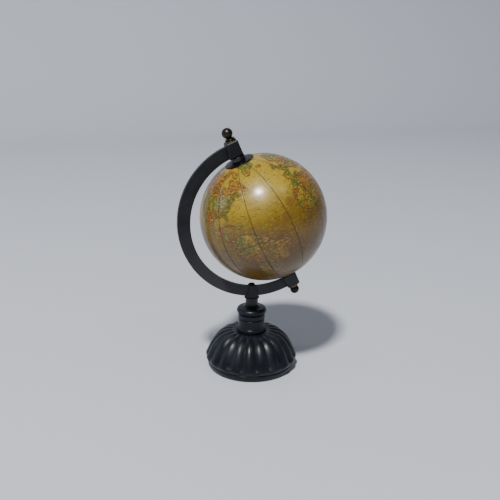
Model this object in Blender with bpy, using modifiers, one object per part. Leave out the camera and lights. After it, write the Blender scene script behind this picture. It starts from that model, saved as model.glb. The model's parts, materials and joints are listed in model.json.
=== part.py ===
"""A small desk globe on a cast stand, built piece by piece.

Metres, +Z up. The origin is on the table, in the middle of the base. The arm stands in the XZ plane:
its bow is on the -X side, and the globe's axle leans so that north points up and towards -X.
Pieces that touch on the real globe keep GAP of air between them here.
"""

import math

import bpy
from mathutils import Matrix

MM = 0.001

# Air between pieces that touch, and the finest step of a turned profile's merge.
GAP = 0.3 * MM
MERGE = 0.01 * MM
SHARP = math.radians(34)

# How many facets a full turn has, by the size of the piece.
SMALL_STEPS = 16
NECK_STEPS = 24
GLOBE_STEPS = 32
ARM_STEPS = 36
CAVITY_STEPS = 24
RIB_STEPS = 4

# Points along the curved stretches of an outline.
DOME_POINTS = 8
HOLLOW_POINTS = 6
BEAD_POINTS = 6
COVE_POINTS = 4
EAR_POINTS = 5
SHELL_POINTS = 8
CAP_POINTS = 4
SEAT_POINTS = 3
BALL_POINTS = 9
HEXAGON = 6

# The ball.
GLOBE_RADIUS = 63.5 * MM
SHELL_WALL = 2.0 * MM
POLAR_TILT = math.radians(24.0)
GLOBE_OVERHANG = 10.7 * MM
JOINING_RING_HEIGHT = 10.0 * MM
JOINING_RING_WALL = 2.0 * MM

# What turns at the poles.
AXLE_RADIUS = 2.0 * MM
AXLE_CHAMFER = 0.3 * MM
BUSH_RADIUS = 4.5 * MM
BUSH_FLANGE_RADIUS = 8.0 * MM
BUSH_FLANGE_HEIGHT = 2.0 * MM
BUSH_TAIL = 3.5 * MM
CAP_RADIUS = 14.8 * MM
CAP_WALL = 0.9 * MM
SPACER_RADIUS = 7.0 * MM
SPACER_ROUND = 0.5 * MM

# The arm: a flat bar between two circles that don't share a centre, so it is wider at the top.
ARM_AIR = 6.4 * MM
ARM_WIDTH = 11.2 * MM
ARM_THICKNESS = 4.6 * MM
ARM_CHAMFER = 0.5 * MM
OUTER_BACK = 6.2 * MM
OUTER_DROP = 2.0 * MM
INNER_BACK = 4.8 * MM
INNER_DROP = 2.85 * MM

# The cast block at each end of the arm, which holds the axle.
BLOCK_DEPTH = 12.6 * MM
BLOCK_BACK = 8.8 * MM
BLOCK_CHAMFER = 0.8 * MM
BLOCK_TAPER = 2.5 * MM
BAND_END_BACK = 3.0 * MM
TOP_BLOCK_AIR = 5.4 * MM
TOP_BLOCK_LENGTH = 15.4 * MM
TOP_BLOCK_FREE = 5.9 * MM
BOTTOM_BLOCK_AIR = 4.3 * MM
BOTTOM_BLOCK_LENGTH = 13.7 * MM
BOTTOM_BLOCK_FREE = 6.8 * MM

# The finial and the ball nut on the axle's ends, with the washers under them.
TOP_WASHER_RADIUS = 5.6 * MM
TOP_WASHER_HEIGHT = 1.2 * MM
FINIAL_BALL_RADIUS = 5.3 * MM
FINIAL_NECK_RADIUS = 2.9 * MM
FINIAL_NECK_HEIGHT = 0.9 * MM
FINIAL_FOOT_RADIUS = 4.6 * MM
FINIAL_FOOT_HEIGHT = 1.3 * MM
BOTTOM_WASHER_RADIUS = 5.2 * MM
BOTTOM_WASHER_HEIGHT = 2.0 * MM
NUT_BALL_RADIUS = 4.65 * MM
NUT_SEAT_RADIUS = 2.9 * MM
AXLE_ROOT = 1.6 * MM

# The base, from the table up.
FELT_THICKNESS = 1.2 * MM
DOME_RADIUS = 47.4 * MM
LIP_TUCK = 1.7 * MM
LIP_HEIGHT = 7.0 * MM
LIP_GROOVE = 0.7 * MM
RIM_TUCK = 2.1 * MM
RIM_LEDGE = 3.7 * MM
DOME_WAIST_HEIGHT = 12.6 * MM
DOME_HEIGHT = 38.6 * MM
DOME_WALL = 4.5 * MM
SHOULDER_PULL_IN = 9.9 * MM
SHOULDER_PULL_UP = 3.4 * MM
FLANK_PULL_IN = 3.6 * MM
FLANK_PULL_UP = 7.4 * MM
WAIST_TUCK = 0.2 * MM
WAIST_ROLL = 0.5 * MM
FOOT_BULGE = 0.4 * MM
FOOT_SHARE = 0.45
HOLLOW_TOP_PULL = 6.5 * MM
HOLLOW_DROP = 0.5 * MM
HOLLOW_LOW_PULL = 4.0 * MM
HOLLOW_FOOT = 2.5 * MM
RIB_COUNT = 20
RIB_DEPTH = 1.7 * MM
RIB_FADE = 8.0 * MM
RIB_FOOT = 4.5 * MM
BOSS_RADIUS = 9.0 * MM
BOSS_DROP = 4.0 * MM

# The two turned neck pieces on the base.
DRUM_FOOT_RADIUS = 15.3 * MM
DRUM_FOOT_HEIGHT = 4.4 * MM
DRUM_FOOT_ROUND = 1.0 * MM
DRUM_RADIUS = 13.5 * MM
DRUM_HEIGHT = 13.8 * MM
RING_BAND_RADIUS = 13.85 * MM
RING_BAND_HEIGHT = 5.0 * MM
RING_EDGE = 0.6 * MM
RING_BEAD_RADIUS = 15.4 * MM
RING_BEAD_HEIGHT = 6.8 * MM
RING_BEAD_SPAN = math.radians(62)
RING_COVE_RADIUS = 12.0 * MM
RING_HEIGHT = 14.6 * MM
COVE_TOP_OUT = 1.2 * MM
COVE_TOP_DROP = 2.4 * MM
COVE_FOOT_IN = 3.0 * MM
COVE_FOOT_UP = 0.3 * MM

# The slotted post that holds the arm, and the pin through both.
POST_RADIUS = 6.4 * MM
POST_SHANK_HEIGHT = 7.1 * MM
POST_FLANGE_RADIUS = 7.8 * MM
POST_FLANGE_HEIGHT = 1.2 * MM
POST_FLANGE_ROUND = 0.4 * MM
POST_WAIST = 0.8 * MM
POST_WAIST_SHARE = 0.6
POST_SLOT_LIFT = 0.9 * MM
EAR_HEIGHT = 14.4 * MM
EAR_TIP_RADIUS = 4.7 * MM
EAR_DOME_HEIGHT = 3.1 * MM
PIN_RADIUS = 1.5 * MM
PIN_CHAMFER = 0.2 * MM

# The stud that pulls the base, the neck and the post together.
STUD_RADIUS = 3.0 * MM
STUD_CHAMFER = 0.6 * MM
STUD_FLOOR = 3.0 * MM
STUD_TAIL = 2.5 * MM
STUD_WASHER_RADIUS = 7.5 * MM
STUD_WASHER_HEIGHT = 1.4 * MM
STUD_NUT_RADIUS = 5.8 * MM
STUD_NUT_HEIGHT = 5.0 * MM

# Sizes that follow from the ones above.
FELT_TOP = FELT_THICKNESS + GAP
LIP_RADIUS = DOME_RADIUS - LIP_TUCK
RIM_RADIUS = LIP_RADIUS - RIM_TUCK
FELT_RADIUS = RIM_RADIUS - RIM_LEDGE - GAP
DRUM_BOTTOM = DOME_HEIGHT + GAP
RING_BOTTOM = DRUM_BOTTOM + DRUM_HEIGHT + GAP
POST_BOTTOM = RING_BOTTOM + RING_HEIGHT + GAP
FLANGE_TOP = POST_BOTTOM + POST_SHANK_HEIGHT + POST_FLANGE_HEIGHT
SLOT_FLOOR = FLANGE_TOP + POST_SLOT_LIFT
ARM_INNER_RADIUS = GLOBE_RADIUS + ARM_AIR
ARM_OUTER_RADIUS = ARM_INNER_RADIUS + ARM_WIDTH
GLOBE_HEIGHT = SLOT_FLOOR + GAP + ARM_OUTER_RADIUS + OUTER_DROP
CAP_TOP = GLOBE_RADIUS + GAP + CAP_WALL
AXLE_BORE = AXLE_RADIUS + GAP
STUD_BORE = STUD_RADIUS + GAP
PIN_BORE = PIN_RADIUS + GAP
PIN_HEIGHT = SLOT_FLOOR + GAP + ARM_WIDTH / 2
TOP_BLOCK_START = GLOBE_RADIUS + TOP_BLOCK_AIR
TOP_BLOCK_END = TOP_BLOCK_START + TOP_BLOCK_LENGTH
BOTTOM_BLOCK_START = GLOBE_RADIUS + BOTTOM_BLOCK_AIR
BOTTOM_BLOCK_END = BOTTOM_BLOCK_START + BOTTOM_BLOCK_LENGTH
FINIAL_SEAT = TOP_BLOCK_END + TOP_WASHER_HEIGHT + 2 * GAP
NUT_SEAT = BOTTOM_BLOCK_END + BOTTOM_WASHER_HEIGHT + 2 * GAP
BOSS_BOTTOM = DOME_HEIGHT - DOME_WALL - BOSS_DROP

# Blender's RGB and the metallic and roughness values of each finish.
FINISHES = {
    "black_lacquer": ((0.012, 0.014, 0.018), 0.0, 0.22),
    "dark_casting": ((0.030, 0.028, 0.028), 0.6, 0.45),
    "antique_brass": ((0.110, 0.090, 0.060), 1.0, 0.35),
    "dark_steel": ((0.150, 0.150, 0.160), 1.0, 0.40),
    "printed_paper": ((0.480, 0.340, 0.100), 0.0, 0.30),
    "grey_card": ((0.300, 0.260, 0.200), 0.0, 0.85),
    "pale_plastic": ((0.600, 0.580, 0.520), 0.0, 0.50),
    "plain_steel": ((0.450, 0.450, 0.460), 1.0, 0.35),
    "green_felt": ((0.020, 0.060, 0.035), 0.0, 0.95),
}


def clear_scene():
    """Empties the file, so that the script can be run again."""
    for obj in list(bpy.data.objects):
        bpy.data.objects.remove(obj)
    for collection in list(bpy.data.collections):
        bpy.data.collections.remove(collection)


def new_collection(name):
    """A collection that hangs on the scene."""
    collection = bpy.data.collections.new(name)
    bpy.context.scene.collection.children.link(collection)
    return collection


def finish_material(name):
    """One of the finishes above as a Principled material, made once."""
    material = bpy.data.materials.get(name)
    if material is None:
        color, metallic, roughness = FINISHES[name]
        material = bpy.data.materials.new(name)
        material.use_nodes = True
        shader = material.node_tree.nodes["Principled BSDF"]
        shader.inputs["Base Color"].default_value = (*color, 1.0)
        shader.inputs["Metallic"].default_value = metallic
        shader.inputs["Roughness"].default_value = roughness
        material.diffuse_color = (*color, 1.0)
    return material


def add_part(name, mesh, finish, parent=None, location=(0, 0, 0), rotation=(0, 0, 0)):
    """A named piece in the parts' collection."""
    piece = bpy.data.objects.new(name, mesh)
    parts.objects.link(piece)
    piece.parent = parent
    piece.location = location
    piece.rotation_euler = rotation
    if not mesh.materials:
        mesh.materials.append(finish_material(finish))
    return piece


def add_tool(name, mesh, parent=None, location=(0, 0, 0), rotation=(0, 0, 0)):
    """A hidden shape that a Boolean cuts or joins with."""
    tool = bpy.data.objects.new(name, mesh)
    tools.objects.link(tool)
    tool.parent = parent
    tool.location = location
    tool.rotation_euler = rotation
    tool.hide_render = True
    tool.display_type = "WIRE"
    return tool


def combine(piece, tool, operation):
    """Cuts a tool from a piece, or joins it to the piece."""
    boolean = piece.modifiers.new(f"{operation.title()} {tool.name}", "BOOLEAN")
    boolean.operation = operation
    boolean.solver = "EXACT"
    boolean.object = tool


def evaluated_mesh(obj):
    """The mesh that an object shows, as a mesh of its own. The object is removed."""
    bpy.context.view_layer.update()
    shown = obj.evaluated_get(bpy.context.evaluated_depsgraph_get())
    mesh = bpy.data.meshes.new_from_object(shown)
    bpy.data.objects.remove(obj)
    return mesh


def shade_round(mesh):
    """Smooth shading that keeps the real corners."""
    mesh.shade_smooth()
    mesh.set_sharp_from_angle(angle=SHARP)
    return mesh


def turned_mesh(name, profile, steps):
    """A profile of (radius, height) points spun about Z. It runs down the piece's outer side.

    A profile that starts off the axis is a closed loop, which gives the piece a bore.
    """
    outline = bpy.data.meshes.new(name)
    points = [(radius, 0, height) for radius, height in profile]
    edges = [(index, index + 1) for index in range(len(points) - 1)]
    if profile[0][0] > 0:
        edges.append((len(points) - 1, 0))
    outline.from_pydata(points, edges, [])
    holder = bpy.data.objects.new(name, outline)
    tools.objects.link(holder)
    screw = holder.modifiers.new("Turn", "SCREW")
    screw.steps = steps
    screw.render_steps = steps
    screw.use_merge_vertices = True
    screw.merge_threshold = MERGE
    mesh = evaluated_mesh(holder)
    mesh.name = name
    return shade_round(mesh)


def tube_profile(outer, bore, bottom, top):
    """A plain washer, sleeve or ring."""
    return [(outer, top), (outer, bottom), (bore, bottom), (bore, top)]


def rod_profile(radius, bottom, top, chamfer=0.0):
    """A plain round bar, with its two ends chamfered where that is asked for."""
    if chamfer == 0.0:
        return [(0, top), (radius, top), (radius, bottom), (0, bottom)]
    return [
        (0, top),
        (radius - chamfer, top),
        (radius, top - chamfer),
        (radius, bottom + chamfer),
        (radius - chamfer, bottom),
        (0, bottom),
    ]


def arc(radius, start, end, count, centre=(0, 0)):
    """Points on a circle from one angle to another, in radians from the first coordinate's axis."""
    step = (end - start) / count
    return [
        (
            centre[0] + radius * math.cos(start + step * index),
            centre[1] + radius * math.sin(start + step * index),
        )
        for index in range(count + 1)
    ]


def bezier(start, pull_start, pull_end, end, count):
    """Points on one cubic curve."""
    points = []
    for index in range(count + 1):
        t = index / count
        weights = ((1 - t) ** 3, 3 * t * (1 - t) ** 2, 3 * t * t * (1 - t), t**3)
        corners = (start, pull_start, pull_end, end)
        points.append(tuple(sum(w * c[axis] for w, c in zip(weights, corners)) for axis in (0, 1)))
    return points


def box_mesh(name, low, high):
    """A box between two corners."""
    bpy.ops.mesh.primitive_cube_add(size=1)
    box = bpy.context.object
    mesh = box.data
    mesh.name = name
    bpy.data.objects.remove(box)
    size = [b - a for a, b in zip(low, high)]
    middle = [(a + b) / 2 for a, b in zip(low, high)]
    mesh.transform(Matrix.Translation(middle) @ Matrix.Diagonal((*size, 1)))
    return mesh


def smooth_step(value, low, high):
    """0 below low, 1 above high, and an even rise between them."""
    share = min(max((value - low) / (high - low), 0.0), 1.0)
    return share * share * (3 - 2 * share)


# ---------------------------------------------------------------- the base


def dome_profile():
    """The base's outline before it is ribbed: flat top, dome, lip and foot."""
    seat = (DRUM_FOOT_RADIUS, DOME_HEIGHT)
    waist = (DOME_RADIUS, DOME_WAIST_HEIGHT)
    shoulder_pull = (DOME_RADIUS - SHOULDER_PULL_IN, DOME_HEIGHT + SHOULDER_PULL_UP)
    flank_pull = (DOME_RADIUS - FLANK_PULL_IN, DOME_WAIST_HEIGHT + FLANK_PULL_UP)
    tuck = (LIP_RADIUS - LIP_GROOVE, LIP_HEIGHT + LIP_GROOVE)
    return (
        [(0, DOME_HEIGHT)]
        + bezier(seat, shoulder_pull, flank_pull, waist, DOME_POINTS)
        + [
            (DOME_RADIUS - WAIST_TUCK, (DOME_WAIST_HEIGHT + tuck[1]) / 2 + WAIST_ROLL),
            tuck,
            (LIP_RADIUS, LIP_HEIGHT),
            ((LIP_RADIUS + RIM_RADIUS) / 2 + FOOT_BULGE, LIP_HEIGHT * FOOT_SHARE),
            (RIM_RADIUS, GAP),
            (0, GAP),
        ]
    )


def add_ribs(mesh):
    """Sinks the dome's surface between the ribs, which fade out at the neck and above the lip."""
    normals = [vertex.normal.copy() for vertex in mesh.vertices]
    for vertex, normal in zip(mesh.vertices, normals):
        x, y, z = vertex.co
        radius = math.hypot(x, y)
        valley = 1 - abs(math.cos(RIB_COUNT * math.atan2(y, x) / 2))
        rise = smooth_step(z, LIP_HEIGHT + 2 * LIP_GROOVE, LIP_HEIGHT + RIB_FOOT)
        reach = smooth_step(radius, DRUM_FOOT_RADIUS, DRUM_FOOT_RADIUS + RIB_FADE)
        vertex.co -= normal * RIB_DEPTH * (radius / DOME_RADIUS) * valley * rise * reach
    return shade_round(mesh)


def cavity_profile():
    """The space under the dome: the felt's recess, the hollow round the boss, and the stud's hole."""
    wall = DOME_WALL + RIB_DEPTH
    recess = FELT_RADIUS + GAP
    ceiling = DOME_HEIGHT - DOME_WALL
    hollow = DOME_RADIUS - wall
    flank = bezier(
        (BOSS_RADIUS, ceiling),
        (hollow - HOLLOW_TOP_PULL, ceiling - HOLLOW_DROP),
        (hollow - HOLLOW_LOW_PULL, DOME_WAIST_HEIGHT),
        (hollow - HOLLOW_FOOT, FELT_TOP),
        HOLLOW_POINTS,
    )
    return (
        [(0, DOME_HEIGHT + DOME_WALL), (STUD_BORE, DOME_HEIGHT + DOME_WALL)]
        + [(STUD_BORE, BOSS_BOTTOM), (BOSS_RADIUS, BOSS_BOTTOM)]
        + flank
        + [(recess, FELT_TOP), (recess, -DOME_WALL), (0, -DOME_WALL)]
    )


def make_base():
    """The ribbed casting and the felt glued in its underside."""
    casting = add_ribs(turned_mesh("base_dome", dome_profile(), RIB_COUNT * RIB_STEPS))
    dome = add_part("base_dome", casting, "black_lacquer")
    cavity = add_tool("base_cavity", turned_mesh("base_cavity", cavity_profile(), CAVITY_STEPS))
    combine(dome, cavity, "DIFFERENCE")
    felt = turned_mesh("felt_pad", rod_profile(FELT_RADIUS, 0, FELT_THICKNESS), CAVITY_STEPS)
    add_part("felt_pad", felt, "green_felt")


# ---------------------------------------------------------------- the neck


def make_neck():
    """The drum with its foot, and the ring with its bead, both threaded on the stud."""
    drum = [
        (DRUM_RADIUS, DRUM_HEIGHT),
        (DRUM_RADIUS, DRUM_FOOT_HEIGHT),
        (DRUM_FOOT_RADIUS - DRUM_FOOT_ROUND, DRUM_FOOT_HEIGHT),
        (DRUM_FOOT_RADIUS, DRUM_FOOT_HEIGHT - DRUM_FOOT_ROUND),
        (DRUM_FOOT_RADIUS, DRUM_FOOT_ROUND),
        (DRUM_FOOT_RADIUS - DRUM_FOOT_ROUND / 2, 0),
        (STUD_BORE, 0),
        (STUD_BORE, DRUM_HEIGHT),
    ]
    bead_middle = RING_BAND_HEIGHT + RING_BEAD_HEIGHT / 2
    bead_round = RING_BEAD_HEIGHT / 2
    bead_top = RING_BAND_HEIGHT + RING_BEAD_HEIGHT
    bead = arc(1.0, RING_BEAD_SPAN, -RING_BEAD_SPAN, BEAD_POINTS)
    bead_in = RING_BEAD_RADIUS - bead_round
    cove = bezier(
        (POST_RADIUS, RING_HEIGHT),
        (POST_RADIUS + COVE_TOP_OUT, RING_HEIGHT - COVE_TOP_DROP),
        (RING_COVE_RADIUS - COVE_FOOT_IN, bead_top + COVE_FOOT_UP),
        (RING_COVE_RADIUS, bead_top),
        COVE_POINTS,
    )
    ring = (
        cove
        + [(bead_in + bead_round * r, bead_middle + bead_round * h) for r, h in bead]
        + [
            (RING_BAND_RADIUS, RING_BAND_HEIGHT),
            (RING_BAND_RADIUS, RING_EDGE),
            (RING_BAND_RADIUS - RING_EDGE, 0),
            (STUD_BORE, 0),
            (STUD_BORE, RING_HEIGHT),
        ]
    )
    drum_mesh = turned_mesh("neck_drum", drum, NECK_STEPS)
    ring_mesh = turned_mesh("neck_ring", ring, NECK_STEPS)
    add_part("neck_drum", drum_mesh, "black_lacquer", None, (0, 0, DRUM_BOTTOM))
    add_part("neck_ring", ring_mesh, "black_lacquer", None, (0, 0, RING_BOTTOM))


def make_stud():
    """The stud up the middle, with its washer and hexagon nut in the hollow of the base."""
    washer_top = BOSS_BOTTOM - GAP
    washer_bottom = washer_top - STUD_WASHER_HEIGHT
    nut_top = washer_bottom - GAP
    nut_bottom = nut_top - STUD_NUT_HEIGHT
    stud_top = SLOT_FLOOR - STUD_FLOOR - GAP
    stud = rod_profile(STUD_RADIUS, nut_bottom - STUD_TAIL, stud_top, STUD_CHAMFER)
    washer = tube_profile(STUD_WASHER_RADIUS, STUD_BORE, washer_bottom, washer_top)
    hexagon = turned_mesh("tie_nut", rod_profile(STUD_NUT_RADIUS, nut_bottom, nut_top), HEXAGON)
    bore_profile = rod_profile(STUD_BORE, nut_bottom - STUD_TAIL, washer_top)
    bore = turned_mesh("nut_bore", bore_profile, SMALL_STEPS)
    add_part("tie_stud", turned_mesh("tie_stud", stud, SMALL_STEPS), "plain_steel")
    add_part("tie_washer", turned_mesh("tie_washer", washer, SMALL_STEPS), "plain_steel")
    nut = add_part("tie_nut", hexagon, "plain_steel")
    combine(nut, add_tool("nut_bore", bore), "DIFFERENCE")


# ---------------------------------------------------------------- the post and its pin


def make_post(pin_bore):
    """The turned post: a shank, a flange, and two ears on either side of the arm's slot."""
    dome_start = EAR_HEIGHT - EAR_DOME_HEIGHT
    dome = [
        (EAR_TIP_RADIUS * r, SLOT_FLOOR + dome_start + EAR_DOME_HEIGHT * h)
        for r, h in arc(1.0, math.pi / 2, 0, EAR_POINTS)
    ]
    profile = (
        [(0, SLOT_FLOOR + EAR_HEIGHT)]
        + dome[1:]
        + [
            (POST_RADIUS - POST_WAIST, SLOT_FLOOR + dome_start * POST_WAIST_SHARE),
            (POST_RADIUS, FLANGE_TOP),
            (POST_FLANGE_RADIUS - POST_FLANGE_ROUND, FLANGE_TOP - POST_FLANGE_ROUND),
            (POST_FLANGE_RADIUS, FLANGE_TOP - POST_FLANGE_HEIGHT / 2),
            (POST_RADIUS, FLANGE_TOP - POST_FLANGE_HEIGHT),
            (POST_RADIUS, POST_BOTTOM),
            (STUD_BORE, POST_BOTTOM),
            (STUD_BORE, SLOT_FLOOR - STUD_FLOOR),
            (0, SLOT_FLOOR - STUD_FLOOR),
        ]
    )
    post = add_part("fork_post", turned_mesh("fork_post", profile, SMALL_STEPS), "dark_casting")
    half_slot = ARM_THICKNESS / 2 + GAP
    reach = 2 * POST_FLANGE_RADIUS
    slot_low = (-reach, -half_slot, SLOT_FLOOR)
    slot_high = (reach, half_slot, SLOT_FLOOR + 2 * EAR_HEIGHT)
    slot_box = box_mesh("arm_slot", slot_low, slot_high)
    combine(post, add_tool("arm_slot", slot_box), "DIFFERENCE")
    combine(post, pin_bore, "DIFFERENCE")


def make_pin_bore():
    """The hole across the post and the arm, front to back."""
    reach = 2 * POST_FLANGE_RADIUS
    bore = turned_mesh("pin_bore", rod_profile(PIN_BORE, -reach, reach), SMALL_STEPS)
    return add_tool("pin_bore", bore, None, (0, 0, PIN_HEIGHT), (math.pi / 2, 0, 0))


def make_pin():
    """The pin that holds the arm in the slot, ground off level with the ears."""
    half = POST_RADIUS - POST_WAIST
    pin = turned_mesh("fork_pin", rod_profile(PIN_RADIUS, -half, half, PIN_CHAMFER), SMALL_STEPS)
    add_part("fork_pin", pin, "dark_casting", None, (0, 0, PIN_HEIGHT), (math.pi / 2, 0, 0))


# ---------------------------------------------------------------- the arm


def arm_end_angle(radius, back, drop, pole):
    """Where one of the arm's circles ends: inside the block, short of the axle's hole."""
    sideways = -back * math.cos(POLAR_TILT) - drop * math.sin(POLAR_TILT)
    turn = math.asin((-BAND_END_BACK - sideways) / radius)
    return math.pi / 2 + POLAR_TILT - turn if pole > 0 else 3 * math.pi / 2 + POLAR_TILT + turn


def arm_band_mesh():
    """The bent bar, drawn flat as one outline and extruded."""
    outer_ends = [arm_end_angle(ARM_OUTER_RADIUS, OUTER_BACK, OUTER_DROP, pole) for pole in (1, -1)]
    inner_ends = [arm_end_angle(ARM_INNER_RADIUS, INNER_BACK, INNER_DROP, pole) for pole in (-1, 1)]
    outline = arc(ARM_OUTER_RADIUS, *outer_ends, ARM_STEPS, (-OUTER_BACK, -OUTER_DROP))
    outline += arc(ARM_INNER_RADIUS, *inner_ends, ARM_STEPS, (-INNER_BACK, -INNER_DROP))
    curve = bpy.data.curves.new("arm_band", "CURVE")
    curve.dimensions = "2D"
    curve.fill_mode = "BOTH"
    curve.extrude = ARM_THICKNESS / 2
    spline = curve.splines.new("POLY")
    spline.points.add(len(outline) - 1)
    for point, (x, z) in zip(spline.points, outline):
        point.co = (x, z, 0, 1)
    spline.use_cyclic_u = True
    holder = bpy.data.objects.new("arm_band", curve)
    tools.objects.link(holder)
    return evaluated_mesh(holder)


def end_block(name, axis, low, high, pole):
    """A chamfered block across one end of the arm, narrower at its far end, in the axle's own directions."""
    mesh = box_mesh(name, low, high)
    middle = (low[2] + high[2]) / 2
    for vertex in mesh.vertices:
        if vertex.co.x < 0 and (vertex.co.z - middle) * pole > 0:
            vertex.co.x += BLOCK_TAPER
    block = add_tool(name, mesh, axis)
    bevel = block.modifiers.new("Chamfer", "BEVEL")
    bevel.width = BLOCK_CHAMFER
    bevel.segments = 1
    bevel.limit_method = "ANGLE"
    return block


def make_arm(axis, pin_bore):
    """The casting: bent bar, a block at each end, the axle's two holes and the pin's hole."""
    arm = add_part(
        "meridian_arm",
        arm_band_mesh(),
        "dark_casting",
        None,
        (GLOBE_OVERHANG, 0, GLOBE_HEIGHT),
        (math.pi / 2, 0, 0),
    )
    weld = arm.modifiers.new("Close the caps", "WELD")
    weld.merge_threshold = MERGE
    bevel = arm.modifiers.new("Chamfer", "BEVEL")
    bevel.width = ARM_CHAMFER
    bevel.segments = 1
    bevel.limit_method = "ANGLE"
    bevel.angle_limit = math.radians(60)
    half = BLOCK_DEPTH / 2
    top_low = (-BLOCK_BACK, -half, TOP_BLOCK_START)
    top_high = (TOP_BLOCK_FREE, half, TOP_BLOCK_END)
    bottom_low = (-BLOCK_BACK, -half, -BOTTOM_BLOCK_END)
    bottom_high = (BOTTOM_BLOCK_FREE, half, -BOTTOM_BLOCK_START)
    top = end_block("top_block", axis, top_low, top_high, 1)
    bottom = end_block("bottom_block", axis, bottom_low, bottom_high, -1)
    reach = TOP_BLOCK_END + BLOCK_DEPTH
    axle_bore = turned_mesh("axle_bore", rod_profile(AXLE_BORE, -reach, reach), SMALL_STEPS)
    combine(arm, top, "UNION")
    combine(arm, bottom, "UNION")
    combine(arm, add_tool("axle_bore", axle_bore, axis), "DIFFERENCE")
    combine(arm, pin_bore, "DIFFERENCE")


# ---------------------------------------------------------------- the ball


def make_ball(axis):
    """Two shells on a joining ring, with a bush and a dished cap at each pole."""
    inner = GLOBE_RADIUS - SHELL_WALL
    hole = BUSH_RADIUS + GAP
    seam = GAP / 2
    outside_start = math.acos(hole / GLOBE_RADIUS)
    outside_end = math.asin(seam / GLOBE_RADIUS)
    outside = arc(GLOBE_RADIUS, outside_start, outside_end, SHELL_POINTS)
    inside = arc(inner, math.asin(seam / inner), math.acos(hole / inner), SHELL_POINTS)
    shell = turned_mesh("globe_shell", outside + inside, GLOBE_STEPS)
    half_ring = JOINING_RING_HEIGHT / 2
    ring_outer = math.sqrt(inner**2 - half_ring**2) - 1.5 * GAP
    ring = tube_profile(ring_outer, ring_outer - JOINING_RING_WALL, -half_ring, half_ring)
    flange_top = math.sqrt(inner**2 - BUSH_FLANGE_RADIUS**2) - 1.5 * GAP
    flange_bottom = flange_top - BUSH_FLANGE_HEIGHT
    bush = turned_mesh(
        "pole_bush",
        [
            (BUSH_RADIUS, math.sqrt(GLOBE_RADIUS**2 - BUSH_RADIUS**2)),
            (BUSH_RADIUS, flange_top),
            (BUSH_FLANGE_RADIUS, flange_top),
            (BUSH_FLANGE_RADIUS, flange_bottom),
            (BUSH_RADIUS, flange_bottom),
            (BUSH_RADIUS, flange_bottom - BUSH_TAIL),
            (AXLE_BORE, flange_bottom - BUSH_TAIL),
            (AXLE_BORE, math.sqrt(GLOBE_RADIUS**2 - BUSH_RADIUS**2)),
        ],
        SMALL_STEPS,
    )
    cap_inner = GLOBE_RADIUS + GAP
    cap = turned_mesh(
        "polar_cap",
        arc(CAP_TOP, math.acos(AXLE_BORE / CAP_TOP), math.acos(CAP_RADIUS / CAP_TOP), CAP_POINTS)
        + arc(cap_inner, math.acos(CAP_RADIUS / cap_inner), math.acos(AXLE_BORE / cap_inner), CAP_POINTS),
        NECK_STEPS,
    )
    poles = {"north": (0, 0, 0), "south": (math.pi, 0, 0)}
    for pole, rotation in poles.items():
        add_part(f"globe_{pole}_shell", shell, "printed_paper", axis, (0, 0, 0), rotation)
        add_part(f"{pole}_bush", bush, "pale_plastic", axis, (0, 0, 0), rotation)
        add_part(f"{pole}_polar_cap", cap, "dark_steel", axis, (0, 0, 0), rotation)
    add_part("joining_ring", turned_mesh("joining_ring", ring, GLOBE_STEPS), "grey_card", axis)


# ---------------------------------------------------------------- the axle


def spacer_mesh(name, block_start):
    """A collar between a polar cap and a block. Its foot is hollowed to sit on the cap."""
    seat = CAP_TOP + GAP
    top = block_start - GAP
    foot = arc(seat, math.acos(SPACER_RADIUS / seat), math.acos(AXLE_BORE / seat), SEAT_POINTS)
    rim = [(SPACER_RADIUS - SPACER_ROUND, top), (SPACER_RADIUS, top - SPACER_ROUND)]
    return turned_mesh(name, rim + foot + [(AXLE_BORE, top)], SMALL_STEPS)


def finial_profile(ball_middle):
    """The top finial: a ball on a short neck and a flared foot, with a blind hole for the axle."""
    neck_angle = -math.acos(FINIAL_NECK_RADIUS / FINIAL_BALL_RADIUS)
    foot_top = FINIAL_SEAT + FINIAL_FOOT_HEIGHT
    return (
        arc(FINIAL_BALL_RADIUS, math.pi / 2, neck_angle, BALL_POINTS, (0, ball_middle))
        + [
            (FINIAL_NECK_RADIUS, foot_top),
            (FINIAL_FOOT_RADIUS, FINIAL_SEAT + FINIAL_FOOT_HEIGHT / 2),
            (FINIAL_FOOT_RADIUS, FINIAL_SEAT),
            (AXLE_BORE, FINIAL_SEAT),
            (AXLE_BORE, ball_middle - AXLE_ROOT),
            (0, ball_middle - AXLE_ROOT),
        ]
    )


def ball_nut_profile(ball_middle):
    """The bottom ball nut, flattened where it seats, with a blind hole for the axle."""
    seat_angle = -math.acos(NUT_SEAT_RADIUS / NUT_BALL_RADIUS)
    return (
        arc(NUT_BALL_RADIUS, math.pi / 2, seat_angle, BALL_POINTS, (0, ball_middle))
        + [(AXLE_BORE, NUT_SEAT), (AXLE_BORE, ball_middle - AXLE_ROOT), (0, ball_middle - AXLE_ROOT)]
    )


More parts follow.
